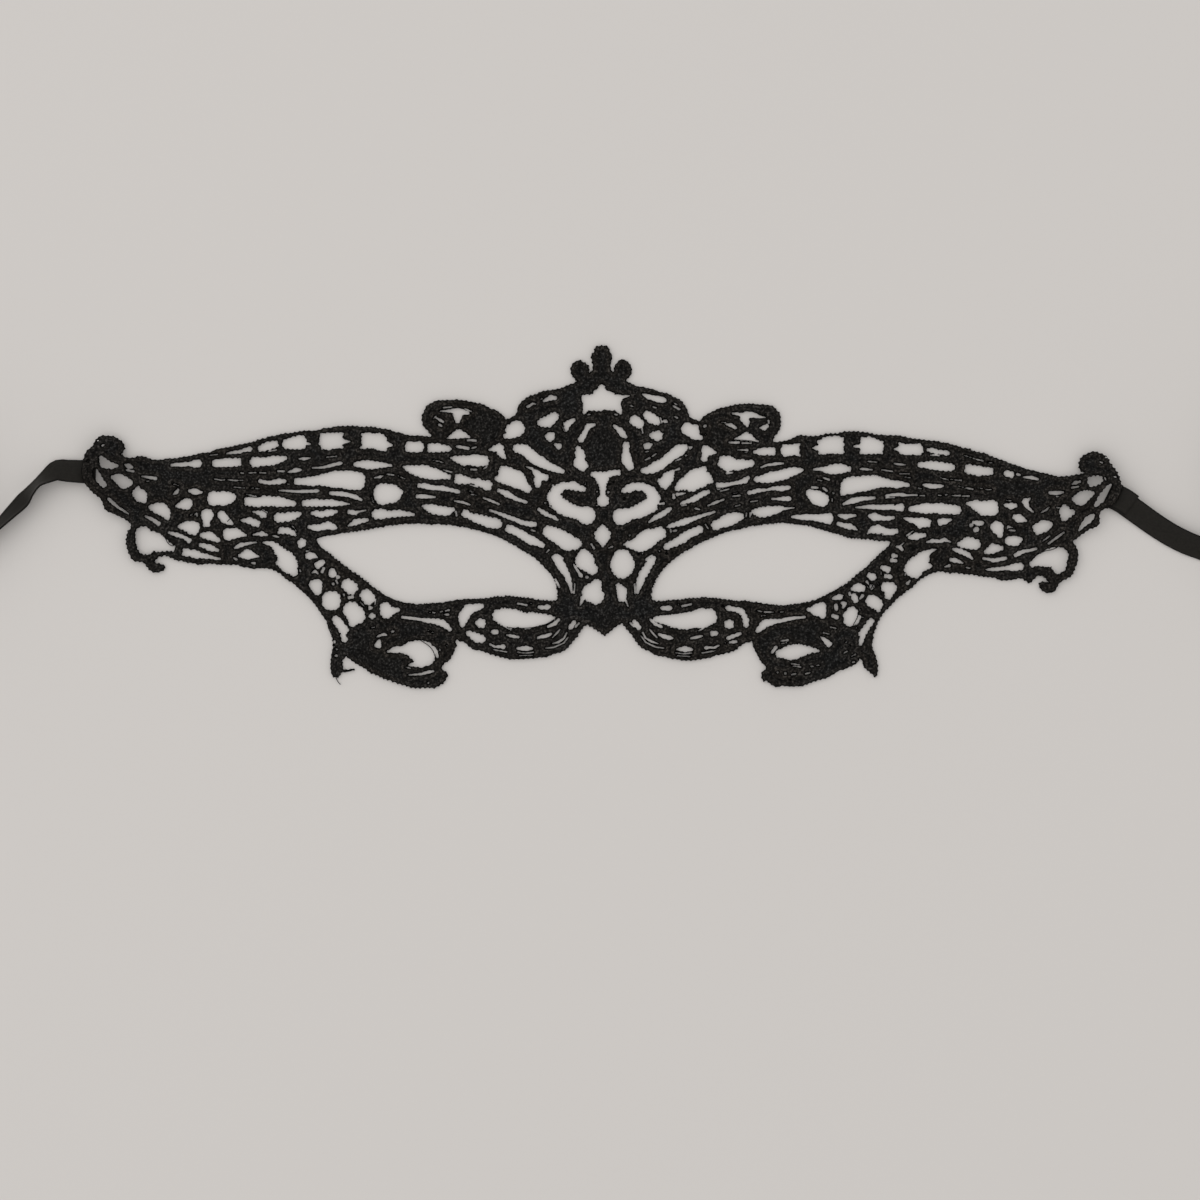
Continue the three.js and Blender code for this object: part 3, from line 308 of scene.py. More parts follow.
# %% Openings that are turned over for the right half, and those on the mirror line
OPENINGS = {
    "crown": [
        [[-4.4, 30, .8], [-1.5, 30, 1], [0, 31, 1.4], [0, 32.4, .8], [0, 33.2, .2]],
        [[-4, 29.5, .9], [-3.2, 28.2, 1.5], [0, 29.4, 2.3]], [[-4.6, 26.2, .35], [-4, 27.6, .8]],
        [[-3.6, 25.8, .2], [-3, 25.9, .15]], [[-11.7, 18.3, .35], [-10.8, 17.9, .75]],
        [[-23.4, 21, .9], [-23.1, 22.4, 1.1]], [[-22.6, 21.7, 1.75], [-21.4, 22.4, 1.75]],
        [[-24.4, 20.4, .55], [-22.9, 20.8, .9]],
    ],
    "brow windows": [
        [[-69, 19.1, 1.95], [-67.2, 19.3, 2]], [[-66.6, 19.1, 1.2], [-65, 19.1, .5], [-63.6, 19.05, .15]],
        [[-67, 20.5, .7], [-65.5, 21, .35]], [[-67, 17.9, .6], [-65.5, 17.5, .3]],
        [[-58.8, 19.3, 1.95], [-56.6, 19.1, 2.05]], [[-60.6, 20.9, .3], [-59.5, 20.4, .8]],
        [[-60.8, 17.5, .3], [-59.6, 17.9, .7]], [[-56, 18.4, 1.4], [-54.6, 18.3, .8], [-53, 18.1, .2]],
        [[-56, 17.7, 1], [-54.7, 17.1, .4]], [[-48.4, 17.65, 1.35], [-46.4, 17.6, 1.3]],
        [[-97.5, 13.5, .95], [-92.2, 13.85, 1.15]],
        [[-76.5, 14.7, .12], [-75, 14.7, .27], [-73.6, 14.9, .15]], [[-69.5, 15.1, .12], [-67, 15.3, .17]],
    ],
    "upper leaves": [
        [[-62, 13.4, .7], [-58.8, 13.2, 1.2], [-55, 13.1, .6], [-53.2, 13, .3]],
        [[-68.4, 5.95, .45], [-65.5, 5.8, .55], [-62.5, 5.1, .6], [-60.7, 4.3, .3]],
        [[-46.6, 5.2, .65], [-42.3, 5, .25]], [[-30, 4.8, .2], [-27.8, 4, .3], [-26, 3.2, .2]],
    ],
    "lower leaves": [
        [[-89.3, 3.9, 1.1], [-84, 4, 1.25], [-80, 3.7, 1.05], [-77.9, 3.4, .6]],
        [[-73.3, 1, .35], [-71, .7, .75], [-68.5, 1.1, .75], [-67, 1.4, .3]],
        [[-36.9, 1.3, .25], [-36.7, .3, .2]],
        [[-56.8, .7, 1.3], [-54, .7, 1.05], [-50.8, .9, .75], [-47.5, .6, .3]],
        [[-45, 2.7, .4], [-42, 1.8, 1.3], [-39, 1.5, 1.15], [-37.8, 1.8, .5]],
        [[-73.9, -2.4, .5], [-71.8, -2.8, .75], [-69.2, -2.1, 1.1], [-67.2, -2.7, .4]],
        [[-63.9, -2.2, .25], [-62, -1.3, .7], [-59.3, -.7, .45]],
        [[-23.4, -2.9, .95], [-21, -4, 1], [-18.2, -5.8, 1.05], [-15.1, -7.1, .8]],
    ],
    "tip": [
        [[-120.2, 13.1, .28], [-119.1, 12.8, .48], [-118.4, 12.5, .2]],
        [[-119.8, 11.8, .2], [-118.2, 11.4, .25]],
        [[-123.2, 10, .55], [-121.8, 9.6, 1.15], [-120.3, 8.6, 1.55], [-118.9, 8.7, .7]],
        [[-125.9, 17.9, .22], [-125.4, 18.1, .15]], [[-127, 19.1, .12], [-126.8, 19.2, .1]],
        [[-129.4, 14, .14], [-129, 14.1, .12]], [[-116, 10.2, .25], [-114.3, 9.95, .45], [-112.6, 9.8, .4]],
        [[-109.2, -3.9, .3], [-106.5, -4.7, .5], [-104.2, -5.9, .65]], [[-114.8, 9, .15], [-114.3, 9, .12]],
        [[-103.9, .4, .12], [-103.4, .7, .12]], [[-102.8, .6, .15], [-102.3, .9, .22], [-102.2, .2, .12]],
    ],
    "temple": [
        [[-99.7, .4, 1.4], [-98.9, .5, .8]], [[-88, 1.3, .22], [-86.6, 1, .55], [-85.4, .6, .85]],
        [[-94, -4.3, 1.35], [-92.4, -4, 1.3], [-90, -4.6, .35]],
        [[-100.7, -4.6, .6], [-99, -4.8, 1.1], [-97, -5.8, .5]], [[-76.2, -13.4, .15], [-76.1, -13.8, .18]],
        [[-78.4, -2.2, .12], [-77.8, -2.6, .12], [-77.2, -3.6, .1]],
    ],
    "lower scroll": [
        [[-50.3, -25.3, .3], [-47, -25.65, .35], [-43, -26.2, .55], [-40.2, -26.8, .85],
         [-38.3, -28.4, .55]],
    ],
    "loop": [
        [[-25.9, -25, 1.85], [-23.7, -25.4, 2.35], [-19, -26.1, 2], [-15.5, -25.9, 1.35],
         [-12.2, -25.6, .5]], [[-27.5, -29.1, .5], [-26.8, -29.2, .62]],
        [[-24, -29.8, .18], [-22.7, -30.1, .42], [-21.1, -30.4, .28]],
        [[-24.3, -27.9, .1], [-23, -28.5, .12]], [[-27.3, -33.5, .12], [-24, -34.1, .15]],
        [[-21.3, -34.1, .12], [-19.2, -34.4, .14], [-17.2, -34.1, .14]],
        [[-21, -35, .1], [-17.5, -34.9, .1]], [[-28.2, -32.2, .3], [-27, -32.8, .25], [-25, -32.7, .5]],
        [[-21.3, -33.2, .3], [-19.4, -33.1, .7], [-17.6, -33.2, .25]],
        [[-16.3, -30.5, .3], [-14.3, -30.1, .55], [-13, -29.6, .35]],
        [[-12.5, -30.5, .14], [-11.3, -29.3, .22], [-10.6, -28.4, .14]],
        [[-8.9, -29.3, .2], [-9.6, -30.7, .25], [-11.1, -31.6, .22], [-12.8, -32, .1]],
        [[-8.5, -30.3, .15], [-9.6, -31.8, .16], [-12.2, -32.9, .18], [-14.3, -33.1, .12]],
        [[-6.9, -26.5, .5], [-7.9, -27.9, .65]], [[-5.8, -26.8, .2], [-6.7, -27.8, .25]],
        [[-13.6, -27.6, .35], [-12, -26.9, .4], [-10.9, -25.9, .35]],
        [[-15.8, -22.8, .55], [-13.8, -22.8, .5]], [[-18, -21.8, .12], [-17.8, -21.9, .12]],
        [[-21.3, -21.8, .2], [-19, -22.3, .25]],
    ],
    "centre": [
        [[-26, 6.7, .5], [-24.5, 6.1, .65], [-21.5, 4.5, .55], [-19.3, 3.8, .4]],
        [[-4.8, 6.9, .6], [-7.2, 7.9, 1], [-9.8, 7.9, 1.05], [-11.6, 6.6, 1.3], [-12, 4.9, 1.7],
         [-11, 3.3, 1.9], [-8.6, 1.9, 1.65], [-5.9, .9, 1.4], [-3.9, .3, 2.05]],
        [[-13.4, -3.7, 1.5], [-10.6, -5.1, 2.1], [-8.6, -6.5, 2.1], [-5.7, -6.8, .7]],
        [[-33.7, 6.6, .1], [-32.4, 6.3, .1]],
        [[-11.8, -10.1, .75], [-10.4, -12, 1], [-8.8, -14.7, .95], [-8, -17, .65], [-7.6, -19, .3]],
        [[-11.2, -9.5, .2], [-9.9, -10.5, .25]], [[-6.9, -16.8, .2], [-7, -19.2, .2]],
    ],
    "axis": [
        [[-2.2, 10.7, .75], [.3, 10.5, .85], [2.6, 11.1, .75], [4, 11.4, .7]],
        [[.2, 9.6, 1.6], [.2, 7.6, .8], [.15, 5.2, .7], [.25, 4.1, 1.5]],
        [[.1, -1.8, .1], [.15, -4.2, 1.75], [.2, -4.6, 1.9], [.2, -6, 1], [.15, -7.5, .2]],
    ],
}
print({name: len(group) for name, group in OPENINGS.items()})

# %% Openings of the left half alone
OPENINGS["left only"] = [
    [[-6, 17.2, .85], [-5.5, 15, 1.25], [-5.6, 13.6, 1.5], [-4.8, 12.8, 1]],
    [[-2.7, -6.8, .2], [-1.9, -8, .22]],
    [[-4.5, -9.5, 1.35], [-4.4, -11, 2.3], [-3.9, -11.8, 2], [-2.3, -13.2, 1.1]],
    [[-7.1, -12, .2], [-5.9, -14, .35], [-5.3, -14.8, .6]], [[-3.7, -15.2, .45]],
    [[-1.3, -16.7, .95], [-1.9, -18.4, 1.8], [-2.7, -19.1, 2.1], [-1.6, -19.9, 1.9]],
    [[-4.9, -20.4, .6], [-5.5, -22.2, .2]],
    [[-5.2, 19.6, .7], [-4.2, 21.6, .75], [-3.3, 22.9, .65], [-2, 23.3, .4]],
    [[-14.4, 29.4, .45], [-12.9, 30.1, .7], [-11.8, 30.1, .6]],
    [[-18.9, 27.8, .28], [-18.2, 28.1, .3], [-17.5, 28.6, .2], [-16.8, 28.5, .15]],
    [[-15.2, 23.9, .85], [-13.5, 24.1, 1.5], [-12.3, 25.2, 1.2], [-11.4, 25.6, .55]],
    [[-13.2, 20.2, .95], [-12.4, 20.9, .55]], [[-9.2, 22.2, .6], [-8.6, 23.6, .95], [-7.3, 24.4, .55]],
    [[-15.4, 29.8, .12], [-15.1, 29.8, .12]], [[-9.8, 22.3, .12], [-9.6, 23.8, .12]],
    [[-21.5, 17.4, 1.05], [-19.5, 16.9, 1.6], [-16.8, 14.6, 1.2], [-13.5, 12.9, .95], [-9.9, 11.5, .5]],
    [[-38.3, 20.2, .25], [-36.4, 20.5, .55], [-33.9, 20.2, .25]], [[-34.6, 27.3, .12], [-33, 26.6, .2]],
    [[-40.1, 27.6, .12], [-37.9, 27.75, .15]], [[-39, 19.85, .12], [-37.2, 19.85, .12]],
    [[-42.6, 24.8, .12], [-41.9, 25.4, .15]], [[-41.8, 25, .2], [-40.2, 24, .3]],
    [[-41.2, 23.3, .3], [-40.6, 23, .3]], [[-34, 19.4, .25], [-31.9, 19.3, .35]],
    [[-36.5, 17.8, .3], [-33.9, 17.4, .4]], [[-32.8, 17.4, .2], [-31.9, 17.6, .2]],
    [[-28.6, 16.9, .15], [-27.1, 17.2, .6], [-25.9, 17.4, 1], [-25.4, 15.9, .8], [-24.6, 14.9, .45]],
    [[-38.6, 20.2, .2], [-36.4, 21.2, .95], [-33.5, 20.15, .2]],
    [[-40.8, 26.7, .15], [-37, 26.8, .75], [-35, 26.5, .65], [-33.7, 26.2, .3]],
    [[-36.4, 25.9, 1.2], [-36.4, 24.2, .5]], [[-94.6, 16.05, .25], [-91.5, 16.5, .4], [-88.9, 17.2, .6]],
    [[-86.2, 17.4, .75], [-84.5, 17.8, .95], [-82.7, 18.3, .85]], [[-84.3, 16.5, .12], [-82.2, 16.9, .2]],
    [[-79.4, 18.4, 1.2], [-76.4, 18.8, 1.65]], [[-76, 18.6, .9], [-74.8, 18.5, .5], [-73.7, 18.4, .2]],
    [[-108.6, 13.1, .4], [-105, 13.3, .5], [-102, 13.5, .8]],
    [[-42.9, 17.5, 1.1], [-40.5, 17.35, .95], [-38.7, 17.2, .7]],
    [[-38.2, 14.9, .2], [-36.8, 14.6, .8], [-34.5, 14.2, 1.3], [-31, 14.35, 1.5], [-29.9, 14.2, 1.3]],
    [[-33.1, 12, .18], [-31.6, 11.95, .2]], [[-29.9, 12.1, .14], [-29.1, 12.7, .2]],
    [[-35, 12.1, .12], [-34.7, 12.1, .12]], [[-42.6, 14.3, .1], [-41, 14, .13], [-40, 13.6, .1]],
    [[-87.4, 13.8, 1.15], [-84.5, 14, 1.1], [-80.2, 14.8, .8]], [[-98.9, 15.6, .1], [-97, 15.8, .12]],
    [[-73, 12.4, .2], [-70, 12.6, .25], [-66, 13.6, .45]],
    [[-79.2, 11.3, .15], [-77.2, 11.9, .5], [-76, 11.9, .2]], [[-81.8, 11.5, .25], [-80.3, 11.5, .25]],
    [[-76.9, 8.9, .7], [-73, 9, 1.1], [-69, 9.5, 1.65], [-65, 9.5, 2.2], [-62.1, 9.1, 2.25]],
    [[-55, 5.9, 2.45], [-53, 5.9, 2.25], [-51, 6.2, .9]],
    [[-86.5, 9.05, .5], [-84, 8.6, .35], [-81.5, 9, .7], [-80, 9, .4]],
    [[-57.5, 9.9, .12], [-56, 10.1, .3], [-55.2, 10.4, .12]], [[-54.2, 10.8, .12], [-52.6, 10.6, .18]],
    [[-51.5, 10.4, .12], [-49.8, 9.6, .12]], [[-58.3, 5.2, .12], [-57.7, 3.7, .12]],
    [[-97.8, 9.6, .12], [-96.2, 9.3, .16], [-95.1, 9.4, .1]],
    [[-94.4, 9.4, .12], [-92.5, 9.2, .17], [-90.6, 9.3, .12]], [[-92.8, 7.5, .12], [-90.2, 7.3, .12]],
    [[-88.6, 7.3, .12], [-88, 7.3, .12]], [[-87.4, 7.2, .15], [-86.4, 7.1, .12]],
    [[-91.2, 11.2, .15], [-90.4, 11, .12]], [[-89.1, 11.1, .14], [-87.2, 11.2, .12]],
    [[-86.4, 11.2, .16], [-84.8, 11.1, .12]], [[-79.3, 8.3, .15], [-79, 8.2, .15]],
    [[-81.4, 6.7, .25], [-76.5, 6.4, .35], [-71.8, 6.6, .35]], [[-40, 11.9, .12], [-38, 11.3, .2]],
    [[-50.2, 12.7, .15], [-48.6, 12.1, .8], [-46, 11.5, 1.6], [-42, 10.9, 1.4], [-38.7, 10.1, .65]],
    [[-35.9, 9.6, 1.2], [-32.5, 9, .6], [-29, 8, 1.15]], [[-33.3, 8.1, .12], [-31.4, 7.6, .15]],
    [[-46.2, 7.9, .6], [-42, 7.4, .55], [-39, 7, .6], [-36.4, 6.4, .45]],
    [[-33, 5.7, .12], [-31.6, 5.5, .1]], [[-37.2, 4, .2], [-35.2, 3.7, .3], [-33.5, 3.1, .2]],
    [[-89.8, 5.75, .12], [-88, 5.35, .15]],
    [[-63.7, 1.3, .45], [-62.4, 1.1, .6], [-61.6, 1.3, .2], [-59.6, 1.7, .22]],
    [[-75, 3.5, .85], [-69.8, 3.6, .85], [-66, 3.4, .5], [-63.8, 3.25, .2]],
    [[-34.5, .8, .95], [-31.5, -.4, 1.2], [-28.5, -1.3, 1.3], [-26.5, -1.7, 1.1]],
    [[-28.4, 1.7, .25], [-24.5, .3, .45], [-20.5, -1.3, .55], [-17, -1.9, .6]],
    [[-126.1, 14.9, .4], [-125.2, 13.4, 1.35], [-123.6, 12.9, .95], [-122.1, 12.9, .3]],
    [[-127.5, 11.7, .45], [-126.8, 9.8, .85], [-125.5, 8, .65]],
    [[-124.2, 4.5, .38], [-122.7, 3, .48], [-120.8, 1.7, .3], [-119.3, .7, .12]],
    [[-115.2, .2, .22], [-113.3, -.7, .38], [-111.9, -1.8, .55]],
    [[-115.8, -4.3, 2.15], [-115, -7, 2.5], [-113.5, -6, 2.45], [-111, -6.9, 1.7], [-108.5, -8, .85]],
    [[-108, 5.8, .25], [-107.4, 6.3, .55], [-107, 6.8, .25]], [[-108.1, 8.3, .12], [-106.8, 7.9, .14]],
    [[-107.3, 2.7, .35], [-104.9, 3.2, 1.2], [-104.3, 3.6, 1]],
    [[-104.2, 6.6, .45], [-102.6, 6.4, .8], [-101.1, 6.3, .4]],
    [[-113.2, 2.5, .85], [-111.2, 2, 1.35], [-110.2, 1.2, 1.3], [-109.6, -.3, .5]],
    [[-106.5, -2.4, .45], [-104.4, -2.5, 1.4], [-103.4, -2.7, 1.5]],
    [[-117, 7.2, .6], [-117.4, 6, 1.15], [-116.3, 5.3, 1.5], [-115.6, 4.3, .9]],
    [[-97.7, 4.7, 1.65], [-95.6, 4.6, 1.8], [-93, 5, .7]],
    [[-96, .4, 1.05], [-95.2, -.4, 1.1], [-94, -1.2, .7], [-93.2, -1.8, .25]],
    [[-101.2, -7, .55], [-99, -7.8, .6], [-96.9, -8.4, .4]],
    [[-92.6, -7.8, .35], [-91.3, -7.2, .6], [-89, -6.6, .3], [-87.2, -6.4, .2]],
    [[-91.4, -9.7, .4], [-89.4, -9.5, 1.1], [-87.7, -9.8, .55], [-86.5, -10, .2]],
    [[-92.9, -10.4, .2], [-92.2, -10.8, .2]], [[-88.4, -11.6, .25], [-87.7, -11.7, .3]],
    [[-88, -4.5, .18], [-86, -4.15, .65], [-84.4, -4.6, .18]], [[-99.8, -.4, .9], [-99.8, -1.7, .75]],
    [[-83, -4.7, .18], [-81.7, -5.1, .22]],
    [[-105, -8.9, 1], [-102, -9.6, .85], [-98.5, -10.2, .4], [-96.5, -10.6, .25]],
    [[-75.6, -6.5, .85], [-76, -7.2, .55]], [[-74.5, -8.7, .2], [-73.8, -8.4, .2]],
    [[-74.2, -9.9, .85], [-73, -9.8, .65], [-71.9, -10.2, .2]], [[-71.7, -12.1, .8], [-70.6, -11.5, .6]],
    [[-70.2, -12.9, .4], [-70.7, -13.7, .45]], [[-73.2, -14.1, .2], [-72.4, -13.7, .3], [-71.7, -14.3, .2]],
    [[-68.1, -13.5, .6], [-68, -14.4, 1.2]], [[-66.5, -15.2, .55]],
    [[-67.1, -16.1, .25], [-66.7, -16.8, .2]], [[-67.9, -16.9, .45]],
    [[-72.2, -17.3, 1.6], [-71.8, -18.7, .95]], [[-64.1, -17.3, 1.65], [-63.4, -17.8, 1.5]],
    [[-68.3, -21.1, 2.4]], [[-63.9, -20.3, .35], [-63, -20.2, .4]],
    [[-65.2, -19.5, .2], [-65.1, -19.9, .2]], [[-57.1, -20.7, .15], [-57.3, -22, .2]],
    [[-61, -21.5, .1], [-60, -22.6, .12]], [[-67.5, -31.3, .2], [-67.5, -31.8, .22]],
    [[-67.6, -32.7, .1], [-67.5, -32.9, .1]], [[-67, -33.4, .18], [-66.9, -33.5, .18]],
    [[-67.2, -35, .28], [-67, -35, .28]], [[-59.5, -19.9, 1.4], [-58.8, -20.4, 1.35]],
    [[-58.6, -23, .4], [-58.2, -22.9, .4]], [[-63.3, -23.6, 2], [-62.2, -24.8, 2.15], [-62.7, -26.4, 1.2]],
    [[-57.9, -25.1, .9]], [[-54.7, -22.9, 1.15], [-54.4, -24, 1.55], [-51.3, -23.3, .4]],
    [[-67.3, -25.7, .8], [-66.4, -27, 1.05], [-65.1, -28.6, 1.15]],
    [[-65.3, -29.8, .65], [-64.9, -30.9, .65]],
    [[-56.9, -30.3, .12], [-56, -29.9, .28], [-54.9, -29.6, .42], [-54.5, -29.8, .25]],
    [[-56.2, -31.1, .3], [-56.5, -32.2, .85]], [[-53.1, -28.9, .25], [-52.7, -28.9, .25]],
    [[-58.3, -28, .1], [-57.4, -27.8, .12]], [[-43.8, -28.7, .1], [-42.6, -29.2, .1]],
    [[-54, -34, .3], [-52.4, -33.6, .7], [-50, -33.4, 1], [-48.2, -33.2, 1.7], [-46.4, -33.8, 2.75],
     [-45, -34.4, 2.95], [-44.5, -35.2, 2.1]],
    [[-48.7, -37.4, .2], [-47.4, -37.2, .5], [-45.8, -36.8, 1.05], [-43.8, -36, 1.1]],
    [[-44.2, -32.2, .4], [-42.4, -33.2, .4], [-41.6, -34.5, .4], [-41.5, -35.4, .25]],
    [[-49.4, -37.9, .14], [-48.3, -38.2, .12]], [[-43.8, -41.7, .14], [-43.8, -42.1, .16]],
    [[-41, -33.4, .14], [-40.9, -33.6, .14]], [[-39.2, -32.4, .1], [-39.1, -32.6, .12]],
    [[-48.8, -39.9, .13], [-45.5, -39.6, .25], [-43.6, -39.1, .4], [-42.6, -38.9, .25]],
    [[-40.8, -23.9, .18], [-40.2, -23.8, .14]], [[-39.5, -23.7, .2], [-38.6, -23.5, .27]],
    [[-39.8, -24.6, .18], [-38.8, -24.7, .33]], [[-42.6, -24.1, .2], [-42.2, -24.2, .15]],
    [[-43.5, -24.1, .1], [-43.3, -24.1, .1]],
    [[-30.4, -22.5, .6], [-33.6, -23.3, 1.2], [-35, -25.2, 1.2], [-35.2, -27.2, .7]],
    [[-30.8, -26.8, 1.25], [-30.4, -26.8, 1.2]],
    [[-33.7, -29.3, .75], [-32.4, -30.1, .9], [-30.5, -30.8, .95]], [[-6.9, 9.3, .15]],
    [[-4.3, 8.1, .12], [-4.1, 8.6, .12]], [[-12.4, 8, .2], [-12.2, 7.7, .2]], [[-13, 9.3, .14]],
    [[-13.2, 6.5, .22]], [[-14.4, 3.5, .2], [-14.1, 3.5, .15]], [[-13.2, 2.7, .14], [-12.3, 2.2, .16]],
    [[-8.4, 11.2, .14]], [[-17.8, -3.3, .2], [-16.9, -3.6, .2]], [[-14, -8.9, .15], [-13.4, -8.3, .2]],
    [[-16.3, -2.7, .1]], [[-6.8, -8.6, .12]], [[-7.4, -10.5, .12]], [[-1.3, 6.4, .25]],
    [[-1.4, 2.9, .15], [-1.1, 2.8, .12]], [[-17.4, 11.8, .35], [-15.8, 10.3, 1.2], [-14.2, 9.9, .7]],
    [[-16.2, 9.4, 1.1], [-16.1, 8.2, .75]], [[-19.2, 12.7, .12], [-17.6, 12.2, .35]],
    [[-25, 12.2, .75], [-24, 10.6, 2.1], [-21.5, 9.4, 2], [-18.9, 7.2, 1]], [[-26.4, 9.7, .6], [-24, 9, 1]],
    [[-16, 2, .45], [-14.5, .9, .55], [-12.5, 0, .55], [-11.3, -.7, .25]],
    [[-69.5, 19.2, 1.6], [-70.9, 20.9, .3]], [[-69.5, 19, 1.6], [-70.6, 17.3, .3]],
    [[-90.9, -.8, .35], [-89.2, -.9, .95], [-87.2, -1.6, .6]],
    [[-81.6, -.1, 1.15], [-79, 0, 1.2], [-76.4, .8, .45]],
    [[-81.6, -4, .25], [-80.7, -3.4, .75], [-79.2, -3.6, .9], [-77.5, -4.3, .35]],
    [[-85.3, -6.5, .25], [-83.2, -6.9, .65], [-81.6, -8.4, 1.2], [-79.6, -10.7, 2.15], [-79, -12, 2.15],
     [-77.6, -14.2, .8]], [[-82, -11.7, .65], [-80, -11.8, 1.4]], [[-11.7, -15.7, .2], [-10.8, -17.7, .2]],
    [[-.4, 32.2, .45], [-1.4, 31.1, .75]],
]
print(len(OPENINGS["left only"]), "openings")

